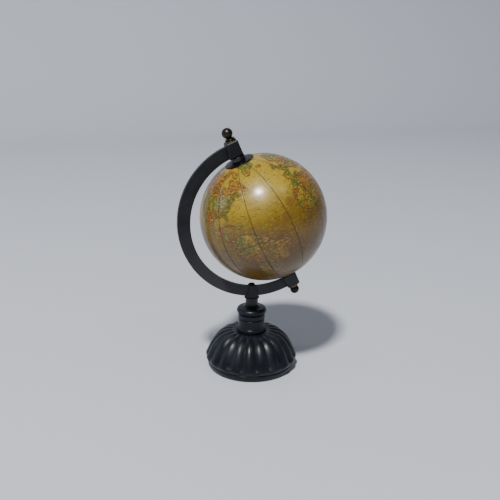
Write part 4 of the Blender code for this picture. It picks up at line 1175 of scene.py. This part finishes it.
def read_places(text):
    """Pairs of numbers from a line of text."""
    numbers = [float(word) for word in text.split()]
    return list(zip(numbers[::2], numbers[1::2]))


def read_lines(text):
    """Open lines, one to each stretch of text between line ends or semicolons."""
    return [read_places(line) for row in text.splitlines() for line in row.split(";") if line.strip()]


def close_points(places, closed):
    """Points every fraction of a millimetre along a line over the ball."""
    ends = places[1:] + places[:1] if closed else places[1:]
    points = []
    for (east, north), (next_east, next_north) in zip(places, ends):
        start, end = on_sphere(east, north), on_sphere(next_east, next_north)
        count = max(1, math.ceil((end - start).length * BALL_RADIUS / POINT_SPACING))
        points += [start.lerp(end, index / count).normalized() * BALL_RADIUS for index in range(count)]
    return points


def ragged_point(point):
    """A point moved a little by noise, the same way each time."""
    inlets = noise.noise_vector(point * INLET_WAVES) * 0.5
    return point + (noise.noise_vector(point * BAY_WAVES) + inlets) * RAGGED


def search_tree(points):
    """A search tree over points."""
    tree = kdtree.KDTree(len(points))
    for index, point in enumerate(points):
        tree.insert(point, index)
    tree.balance()
    return tree


def inside_outline(east, north, places):
    """Whether a place is inside an outline, by counting the sides to one side of it."""
    inside = False
    for (east_a, north_a), (east_b, north_b) in zip(places, places[1:] + places[:1]):
        if (north_a > north) != (north_b > north):
            if east < east_a + (north - north_a) * (east_b - east_a) / (north_b - north_a):
                inside = not inside
    return inside


OUTLINES = [read_places(text) for text in COASTS.values()]
LAKE_OUTLINES = [read_places(text) for text in LAKES.values()]
OUTLINE_BOXES = [
    (min(e for e, n in places), max(e for e, n in places),
     min(n for e, n in places), max(n for e, n in places))
    for places in OUTLINES
]
shore_tree = search_tree([p for places in OUTLINES + LAKE_OUTLINES for p in close_points(places, True)])
river_tree = search_tree([p for places in read_lines(RIVERS) for p in close_points(places, False)])
ridge_tree = search_tree([p for places in read_lines(MOUNTAINS) for p in close_points(places, False)])
route_tree = search_tree([p for places in read_lines(ROUTES) for p in close_points(places, False)])
middles = [
    (on_sphere(*place) * BALL_RADIUS, tint)
    for tint, text in COUNTRIES.items() for place in read_places(text)
]
country_tree = search_tree([place for place, tint in middles])
print("countries:", len(middles))


def on_land(east, north):
    """Whether a place is on land. A land that crosses the date line is tried a turn further too."""
    for places, (west, far_east, south, top) in zip(OUTLINES, OUTLINE_BOXES):
        if south <= north <= top:
            for turned in (east, east + 360):
                if west <= turned <= far_east and inside_outline(turned, north, places):
                    return not any(inside_outline(east, north, lake) for lake in LAKE_OUTLINES)
    return False


# %% [markdown]
# Now the strips. A curve along one meridian is spun through the strip's width, which gives a neat
# grid of points. The strips were pasted by hand, so those in front came out a little wider than those
# behind: a small sine term shifts the seams. Every strip stores its distances as it is made, and a
# Solidify gives the paper its thickness.

# %% The paper strips
STRIPS = 12
STRIP_ACROSS = 40
STRIP_ALONG = 208
STRIP_END = 78.0
FRONT_EAST = -41.0
FRONT_STRETCH = 5.7
PAPER = 0.12
PAPER_LIFT = 0.06
SEAM_GAP = 0.10
BORDER_WAVES = 0.10
BORDER_SWAY = 3.0


def seam_angle(east):
    """Where a printed meridian lies on the ball, in degrees from straight ahead."""
    from_front = east - FRONT_EAST
    return from_front + FRONT_STRETCH * math.sin(from_front * DEGREE)


def point_values(east, north):
    """What a point of the map stores: land, lines and tint."""
    place = on_sphere(east, north) * BALL_RADIUS
    moved = ragged_point(place)
    moved_north = math.degrees(math.asin(max(-1.0, min(1.0, moved.z / moved.length))))
    moved_east = math.degrees(math.atan2(moved.y, moved.x))
    shore = shore_tree.find(moved)[2]
    signed = shore if on_land(moved_east, moved_north) else -shore
    wavering = moved + noise.noise_vector(place * BORDER_WAVES) * BORDER_SWAY
    (first, nearest, near), (second, other, far) = country_tree.find_n(wavering, 2)
    tint = TINTS[middles[nearest][1]]
    return {
        "shore": signed,
        "border": far - near,
        "river": river_tree.find(moved)[2],
        "ridge": ridge_tree.find(moved)[2],
        "route": route_tree.find(place)[2],
        "tint": (*tint, 1.0),
    }


def make_strip(index):
    """One gore: a meridian curve spun through its width, with the map stored on its points."""
    east_start = -180 + index * 360 / STRIPS
    east_end = east_start + 360 / STRIPS
    angle_start, angle_end = seam_angle(east_start), seam_angle(east_end)
    inset = math.degrees(SEAM_GAP / BALL_RADIUS)
    width = (angle_end - angle_start - 2 * inset) * DEGREE
    bm = bmesh.new()
    radius = BALL_RADIUS + PAPER + PAPER_LIFT
    norths = [-STRIP_END + 2 * STRIP_END * row / STRIP_ALONG for row in range(STRIP_ALONG + 1)]
    ahead = Matrix.Rotation(-math.pi / 2 + (angle_start + inset) * DEGREE, 4, "Z")
    column = [bm.verts.new(ahead @ (on_sphere(0, north) * radius)) for north in norths]
    sides = [bm.edges.new(pair) for pair in zip(column, column[1:])]
    bmesh.ops.spin(
        bm, geom=column + sides, cent=(0, 0, 0), axis=(0, 0, 1), angle=width, steps=STRIP_ACROSS,
    )
    names = ("shore", "border", "river", "ridge", "route", "across", "up", "seam")
    layers = {name: bm.verts.layers.float.new(name) for name in names}
    layers["tint"] = bm.verts.layers.float_color.new("tint")
    middle = math.degrees(-math.pi / 2) + (angle_start + angle_end) / 2
    half = (angle_end - angle_start) / 2
    for vert in bm.verts:
        north = math.degrees(math.asin(vert.co.z / radius))
        turn = (math.degrees(math.atan2(vert.co.y, vert.co.x)) - middle + 180) % 360 - 180
        east = (east_start + east_end) / 2 + turn / half * (180 / STRIPS)
        values = point_values((east + 180) % 360 - 180, north)
        flat = math.cos(north * DEGREE) * BALL_RADIUS * DEGREE
        values["across"] = turn * flat
        values["up"] = north * BALL_RADIUS * DEGREE
        values["seam"] = (half - abs(turn)) * flat
        for name, value in values.items():
            vert[layers[name]] = value
    strip = finish_piece(bm, f"map_strip_{index + 1:02d}", ON_AXLE, "globe", MAP_PAPER)
    sheet = strip.modifiers.new("Paper", "SOLIDIFY")
    sheet.thickness = PAPER * MM
    sheet.offset = -1.0
    return strip


# %% [markdown]
# The printed and varnished paper is the finish that one looks at most. Its colours are laid down in
# the order of an old print: sea, paler towards the top as painted light, land washes that are
# stronger along coasts and borders, then the sepia lines, hatching and rows of tiny illegible marks
# that stand in for names, and last the age of the paper, with painted shade on the lower half. The
# varnish is a clear coat over it all.

# %% The printed map
SEA = (0.138, 0.084, 0.002)
SEA_DEEP = (0.100, 0.055, 0.001)
# Pale paper, used for thin and bare patches of the print and for painted light on the top of the ball.
PALE_WASH_AND_TOP_LIGHT = (0.36, 0.26, 0.016)
# The brown of painted shade on the lower half of the ball.
PAINTED_SHADE_BROWN = (0.090, 0.040, 0.001)
SEPIA = (0.035, 0.019, 0.006)
GRIME = (0.060, 0.032, 0.009)
RUST_STAIN = (0.13, 0.055, 0.010)
FOREST = (0.036, 0.080, 0.006)
EARTH = (0.20, 0.075, 0.010)
# Each stain: its turn from straight ahead and its height in degrees, and its radius.
STAINS = ((20, 21.5, 7.0), (8, 11, 5.0))
NAME_ROW = 1.25
WORD_WAVES = 0.42
STROKE_WAVES = 3.4
SEA_LINE_SPACING = 0.55
DASH_SPACING = 1.5
# Fifteen degrees of the ball, which is the distance between two printed parallels.
PARALLEL_SPACING = 16.624
LINE_WIDTHS = {
    "coast": 0.46, "border": 0.36, "river": 0.32, "route": 0.36, "meridian": 0.22, "equator": 0.8,
}
INK = {
    "coast": 0.95, "sea lines": 0.75, "border": 0.85, "river": 0.8, "hills": 0.75, "route": 0.75,
    "land names": 0.95, "sea names": 0.75, "sea marks": 0.55, "grid": 0.25, "equator": 0.55,
}
INK_COVER = 0.92
COAST_EDGE = (-0.04, 0.04)
VARNISH_ROUGHNESS = 0.21
PAPER_SHINE = 0.36
RELIEF = {"waves": 0.8, "fibres": 0.06, "lifted edge": 0.35, "joint": -0.8}
RELIEF_HEIGHT = 0.3


def line_mask(tree, distance, width):
    """A printed line where a distance is under half its width."""
    return soft_mask(tree, sum_up(tree, "ABSOLUTE", distance), width * 0.35, width * 0.75, 1.0, 0.0)


def stripes(tree, value, spacing, share):
    """Thin stripes every few fractions of a millimetre."""
    wave = sum_up(tree, "PINGPONG", value, spacing / 2)
    return soft_mask(tree, wave, spacing * share * 0.3, spacing * share * 0.7, 1.0, 0.0)


def joined(tree, *masks):
    """The strongest of several masks."""
    result = masks[0]
    for mask in masks[1:]:
        result = sum_up(tree, "MAXIMUM", result, mask)
    return result


def times(tree, *values):
    """Several values multiplied."""
    result = values[0]
    for value in values[1:]:
        result = sum_up(tree, "MULTIPLY", result, value)
    return result


def lettering(tree, across, up):
    """Rows of small marks that look like names from a distance and say nothing."""
    row = sum_up(tree, "FLOOR", sum_up(tree, "DIVIDE", up, NAME_ROW))
    in_row = sum_up(tree, "FRACT", sum_up(tree, "DIVIDE", up, NAME_ROW))
    band = times(tree, soft_mask(tree, in_row, 0.22, 0.32), soft_mask(tree, in_row, 0.62, 0.72, 1.0, 0.0))
    words = tree.nodes.new("ShaderNodeCombineXYZ")
    feed(tree, words.inputs[0], sum_up(tree, "MULTIPLY", across, WORD_WAVES))
    feed(tree, words.inputs[1], sum_up(tree, "MULTIPLY", row, 3.7))
    word = soft_mask(tree, noise_value(tree, words.outputs[0], 1.0, 1.0), 0.50, 0.55)
    strokes = tree.nodes.new("ShaderNodeCombineXYZ")
    feed(tree, strokes.inputs[0], sum_up(tree, "MULTIPLY", across, STROKE_WAVES))
    slant = sum_up(tree, "MULTIPLY", up, 1.4)
    feed(tree, strokes.inputs[1], sum_up(tree, "MULTIPLY_ADD", row, 5.3, slant))
    stroke = soft_mask(tree, noise_value(tree, strokes.outputs[0], 1.0, 1.0), 0.46, 0.54)
    return times(tree, band, word, stroke)


def patch(tree, place, turn, north, size):
    """A ragged patch on the ball, at an angle from straight ahead and a height, in degrees."""
    middle = ON_AXLE @ (on_sphere(turn - 90, north) * BALL_RADIUS)
    away = tree.nodes.new("ShaderNodeVectorMath")
    away.operation = "DISTANCE"
    feed(tree, away.inputs[0], place)
    feed(tree, away.inputs[1], middle)
    ragged = sum_up(tree, "MULTIPLY", noise_value(tree, place, 0.35, 4.0, 0.65), size)
    return soft_mask(tree, sum_up(tree, "ADD", away.outputs["Value"], ragged), size, size * 1.5, 1.0, 0.0)


def streaks(tree, along, high, seed):
    """Short marks that lie along the rows of the print, in waves to the millimetre."""
    spread = tree.nodes.new("ShaderNodeCombineXYZ")
    feed(tree, spread.inputs[0], sum_up(tree, "MULTIPLY", stored(tree, "across"), along))
    feed(tree, spread.inputs[1], sum_up(tree, "MULTIPLY", stored(tree, "up"), high))
    spread.inputs[2].default_value = seed
    return noise_value(tree, spread.outputs[0], 1.0, 2.0, 0.6)


def land_print(tree, place, edge, border):
    """Land washes, stronger along coasts and borders, broken by printed woods and hills."""
    tint = stored(tree, "tint", "Color")
    near_coast = soft_mask(tree, edge, 0.1, 2.2, 1.0, 0.0)
    near_border = soft_mask(tree, border, 0.1, 2.0, 1.0, 0.0)
    pale = mix_colors(tree, 0.42, tint, SEA)
    strong = mix_colors(tree, 0.22, tint, SEA_DEEP)
    color = mix_colors(tree, joined(tree, near_coast, near_border), pale, strong)
    woods = soft_mask(tree, noise_value(tree, place, 0.24, 4.0, 0.65), 0.46, 0.58)
    hills = soft_mask(tree, noise_value(tree, place, 0.17, 4.0, 0.65), 0.48, 0.60)
    color = mix_colors(tree, times(tree, woods, 0.60), color, FOREST)
    color = mix_colors(tree, times(tree, hills, 0.50), color, EARTH)
    bare = soft_mask(tree, streaks(tree, 0.25, 0.55, 4.0), 0.52, 0.60)
    color = mix_colors(tree, times(tree, bare, 0.70), color, PALE_WASH_AND_TOP_LIGHT)
    marks = soft_mask(tree, streaks(tree, 0.30, 0.66, 9.0), 0.50, 0.58)
    fine_marks = soft_mask(tree, streaks(tree, 0.8, 2.1, 9.0), 0.52, 0.60)
    printed = joined(tree, times(tree, marks, 0.72), times(tree, fine_marks, 0.45))
    return mix_colors(tree, printed, color, SEPIA)


def printed_lines(tree, place, edge, border, crumble):
    """Everything that is printed as a line or as a small mark, as one mask."""
    across, up = stored(tree, "across"), stored(tree, "up")
    land = soft_mask(tree, edge, *COAST_EDGE)
    sea = sum_up(tree, "SUBTRACT", 1.0, land)
    near_sea = times(tree, sea, soft_mask(tree, edge, -1.9, -0.2))
    gaps = soft_mask(tree, noise_value(tree, place, 1.6, 1.0), 0.42, 0.5)
    river = sum_up(tree, "MULTIPLY_ADD", crumble, 0.2, stored(tree, "river"))
    route = stored(tree, "route")
    slopes = soft_mask(tree, stored(tree, "ridge"), 0.3, 2.4, 1.0, 0.0)
    peaks = soft_mask(tree, noise_value(tree, place, 1.9, 2.0), 0.48, 0.56)
    dashes = stripes(tree, sum_up(tree, "ADD", across, up), DASH_SPACING, 1.1)
    names = lettering(tree, across, up)
    some_sea = soft_mask(tree, noise_value(tree, place, 0.11, 1.0), 0.45, 0.53)
    named_sea = joined(tree, some_sea, soft_mask(tree, edge, -10.0, -4.0))
    clutter = soft_mask(tree, streaks(tree, 0.28, 0.62, 6.0), 0.54, 0.62)
    parallels = stripes(tree, up, PARALLEL_SPACING, 0.022)
    grid = joined(tree, parallels, line_mask(tree, across, LINE_WIDTHS["meridian"]))
    equator = times(tree, line_mask(tree, up, LINE_WIDTHS["equator"]), stripes(tree, across, 2.2, 1.0))
    return joined(
        tree,
        times(tree, line_mask(tree, edge, LINE_WIDTHS["coast"]), INK["coast"]),
        times(tree, near_sea, stripes(tree, up, SEA_LINE_SPACING, 0.5), INK["sea lines"]),
        times(tree, land, line_mask(tree, border, LINE_WIDTHS["border"]), gaps, INK["border"]),
        times(tree, land, line_mask(tree, river, LINE_WIDTHS["river"]), INK["river"]),
        times(tree, land, slopes, peaks, INK["hills"]),
        times(tree, sea, line_mask(tree, route, LINE_WIDTHS["route"]), dashes, INK["route"]),
        times(tree, land, names, INK["land names"]),
        times(tree, sea, names, named_sea, INK["sea names"]),
        times(tree, sea, clutter, named_sea, INK["sea marks"]),
        times(tree, grid, INK["grid"]),
        times(tree, equator, INK["equator"]),
    )


def aged_and_shaded(tree, place, color, seam):
    """Painted shade browning the lower half, dirt along the seams, brown stains and specks over the print.
    """
    lower = soft_mask(tree, stored(tree, "up"), -25.0, 35.0, 1.0, 0.55)
    reach = sum_up(tree, "DIVIDE", seam, lower)
    line = times(tree, soft_mask(tree, reach, 0.05, 0.50, 1.0, 0.0), 0.8)
    beside = soft_mask(tree, reach, 0.2, 3.0, 1.0, 0.0)
    halo = times(tree, beside, noise_value(tree, place, 0.3, 3.0), 0.45)
    # Painted shade: the print turns browner and darker towards the bottom of the ball.
    painted_low_shade = soft_mask(tree, stored(tree, "up"), 10.0, -44.0, 0.0, 0.45)
    color = mix_colors(tree, painted_low_shade, color, PAINTED_SHADE_BROWN)
    color = mix_colors(tree, joined(tree, line, halo), color, GRIME)
    cloud = soft_mask(tree, noise_value(tree, place, 0.06, 5.0, 0.6), 0.52, 0.70)
    spots = [times(tree, patch(tree, place, *spot), 0.6) for spot in STAINS]
    rust = joined(tree, times(tree, cloud, 0.45), *spots)
    color = mix_colors(tree, rust, color, RUST_STAIN)
    specks = soft_mask(tree, noise_value(tree, place, 0.9, 2.0), 0.66, 0.73)
    return mix_colors(tree, times(tree, specks, 0.55), color, GRIME)


def make_map_paper():
    """The print, painted light and shade, the ageing and the varnish."""
    material, tree, shader = new_material("map_paper")
    place = own_place(tree)
    crumble = sum_up(tree, "SUBTRACT", noise_value(tree, place, 1.1, 3.0), 0.5)
    edge = sum_up(tree, "MULTIPLY_ADD", crumble, 0.55, stored(tree, "shore"))
    border = sum_up(tree, "MULTIPLY_ADD", crumble, 0.6, stored(tree, "border"))
    cloudy = soft_mask(tree, noise_value(tree, place, 0.045, 4.0), 0.35, 0.65)
    paper = mix_colors(tree, cloudy, SEA, SEA_DEEP)
    # Painted light: the paper turns paler towards the top of the ball, as if lit from above.
    paper = mix_colors(tree, soft_mask(tree, stored(tree, "up"), 6.0, 48.0, 0.0, 0.9), paper, PALE_WASH_AND_TOP_LIGHT)
    mottle = soft_mask(tree, noise_value(tree, place, 0.8, 4.0, 0.65), 0.40, 0.66)
    paper = mix_colors(tree, times(tree, mottle, 0.22), paper, EARTH)
    thin = soft_mask(tree, streaks(tree, 0.25, 0.55, 2.0), 0.54, 0.64)
    paper = mix_colors(tree, times(tree, thin, 0.30), paper, PALE_WASH_AND_TOP_LIGHT)
    land = soft_mask(tree, edge, *COAST_EDGE)
    color = mix_colors(tree, land, paper, land_print(tree, place, edge, border))
    ink = printed_lines(tree, place, edge, border, crumble)
    color = mix_colors(tree, times(tree, ink, INK_COVER), color, SEPIA)
    seam = stored(tree, "seam")
    feed(tree, shader.inputs["Base Color"], aged_and_shaded(tree, place, color, seam))
    gloss = soft_mask(tree, noise_value(tree, place, 0.12, 4.0), 0.3, 0.7, 0.34, 0.46)
    feed(tree, shader.inputs["Roughness"], gloss)
    varnish = soft_mask(tree, noise_value(tree, place, 0.2, 3.0), 0.2, 0.6, 0.30, 0.46)
    feed(tree, shader.inputs["Coat Weight"], varnish)
    shader.inputs["Coat Roughness"].default_value = VARNISH_ROUGHNESS
    shader.inputs["Specular IOR Level"].default_value = PAPER_SHINE
    fibre = noise_value(tree, place, 1.4, 4.0, 0.6)
    waviness = noise_value(tree, place, 0.16, 2.0)
    lifted = soft_mask(tree, seam, 0.1, 1.3, 1.0, 0.0)
    joint = soft_mask(tree, seam, 0.0, 0.3, 1.0, 0.0)
    height = sum_up(tree, "MULTIPLY_ADD", waviness, RELIEF["waves"], times(tree, fibre, RELIEF["fibres"]))
    height = sum_up(tree, "MULTIPLY_ADD", lifted, RELIEF["lifted edge"], height)
    height = sum_up(tree, "MULTIPLY_ADD", joint, RELIEF["joint"], height)
    bump = add_node(tree, "ShaderNodeBump", Height=height, Strength=0.6)
    bump.inputs["Distance"].default_value = RELIEF_HEIGHT * MM
    feed(tree, shader.inputs["Normal"], bump.outputs[0])
    return material


MAP_PAPER = make_map_paper()
for strip_index in range(STRIPS):
    make_strip(strip_index)

# %% [markdown]
# The working parts that still show need a finish too: the card shells under the paper, the plastic
# bushes, the steel rod, stud, washer and nut. The felt under the base gets a piece of its own,
# because its edge is soft and its fibres stand up.

# %% Card, plastic and felt
CARD_DARK, CARD_LIGHT = (0.035, 0.022, 0.010), (0.06, 0.04, 0.02)
PLASTIC_DARK, PLASTIC_LIGHT = (0.52, 0.50, 0.44), (0.60, 0.58, 0.52)
FELT_DARK, FELT_GREEN, FELT_FLUFF = (0.010, 0.035, 0.020), (0.025, 0.075, 0.042), (0.06, 0.12, 0.08)


def make_card():
    """Brown-grey board with a fibrous drift of tone."""
    material, tree, shader = new_material("grey_card")
    place = own_place(tree)
    fibres = noise_value(tree, place, 0.8, 5.0, 0.7)
    color = mix_colors(tree, soft_mask(tree, fibres, 0.3, 0.7), CARD_DARK, CARD_LIGHT)
    feed(tree, shader.inputs["Base Color"], color)
    shader.inputs["Roughness"].default_value = 0.85
    bump = add_node(tree, "ShaderNodeBump", Height=fibres, Strength=0.4)
    bump.inputs["Distance"].default_value = 0.2 * MM
    feed(tree, shader.inputs["Normal"], bump.outputs[0])
    return material


def make_plastic():
    """Moulded plastic with a fine grain."""
    material, tree, shader = new_material("pale_plastic")
    place = own_place(tree)
    grain = noise_value(tree, place, 3.0, 2.0)
    color = mix_colors(tree, noise_value(tree, place, 0.1, 2.0), PLASTIC_DARK, PLASTIC_LIGHT)
    feed(tree, shader.inputs["Base Color"], color)
    feed(tree, shader.inputs["Roughness"], soft_mask(tree, grain, 0.2, 0.8, 0.42, 0.56))
    bump = add_node(tree, "ShaderNodeBump", Height=grain, Strength=0.2)
    bump.inputs["Distance"].default_value = 0.05 * MM
    feed(tree, shader.inputs["Normal"], bump.outputs[0])
    return material


def make_felt():
    """Pressed wool: matted fibres in two sizes and a soft sheen."""
    material, tree, shader = new_material("green_felt")
    place = own_place(tree)
    mat = noise_value(tree, place, 1.2, 6.0, 0.7)
    fluff = noise_value(tree, place, 5.0, 3.0, 0.7)
    color = mix_colors(tree, soft_mask(tree, mat, 0.3, 0.7), FELT_DARK, FELT_GREEN)
    color = mix_colors(tree, soft_mask(tree, fluff, 0.6, 0.8), color, FELT_FLUFF)
    feed(tree, shader.inputs["Base Color"], color)
    shader.inputs["Roughness"].default_value = 0.95
    shader.inputs["Sheen Weight"].default_value = 0.4
    bump = add_node(tree, "ShaderNodeBump", Height=sum_up(tree, "ADD", mat, fluff), Strength=0.7)
    bump.inputs["Distance"].default_value = 0.4 * MM
    feed(tree, shader.inputs["Normal"], bump.outputs[0])
    return material


GREY_CARD = make_card()
PALE_PLASTIC = make_plastic()
GREEN_FELT = make_felt()

# %% The felt, and finishes for the parts that stay
FELT_RADIUS = FELT_HIGH.x
FELT_ROUND = 0.35
FELT_STEPS = 160


def felt_outline():
    """A disc with a soft edge."""
    tall = FELT_HIGH.z
    top = arc_points(FELT_ROUND, 90, 0, 4, (FELT_RADIUS - FELT_ROUND, tall - FELT_ROUND))
    low = arc_points(FELT_ROUND, 0, -90, 4, (FELT_RADIUS - FELT_ROUND, FELT_ROUND))
    return [(0, tall)] + top + low + [(FELT_RADIUS * 0.66, 0.03), (FELT_RADIUS * 0.33, 0.03), (0, 0.02)]


finish_piece(
    turn_outline(felt_outline(), FELT_STEPS), "felt_disc", Matrix(), "stand",
    GREEN_FELT, ["felt_pad"],
)

KEPT_PARTS = {
    "globe_north_shell": GREY_CARD,
    "globe_south_shell": GREY_CARD,
    "joining_ring": GREY_CARD,
    "north_bush": PALE_PLASTIC,
    "south_bush": PALE_PLASTIC,
    "axle_rod": PLAIN_STEEL,
    "tie_stud": PLAIN_STEEL,
    "tie_washer": PLAIN_STEEL,
    "tie_nut": PLAIN_STEEL,
}
for node_name, finish in KEPT_PARTS.items():
    part = frame["nodes"][node_name]
    part.data.materials.clear()
    part.data.materials.append(finish)
print("kept parts:", len(KEPT_PARTS))
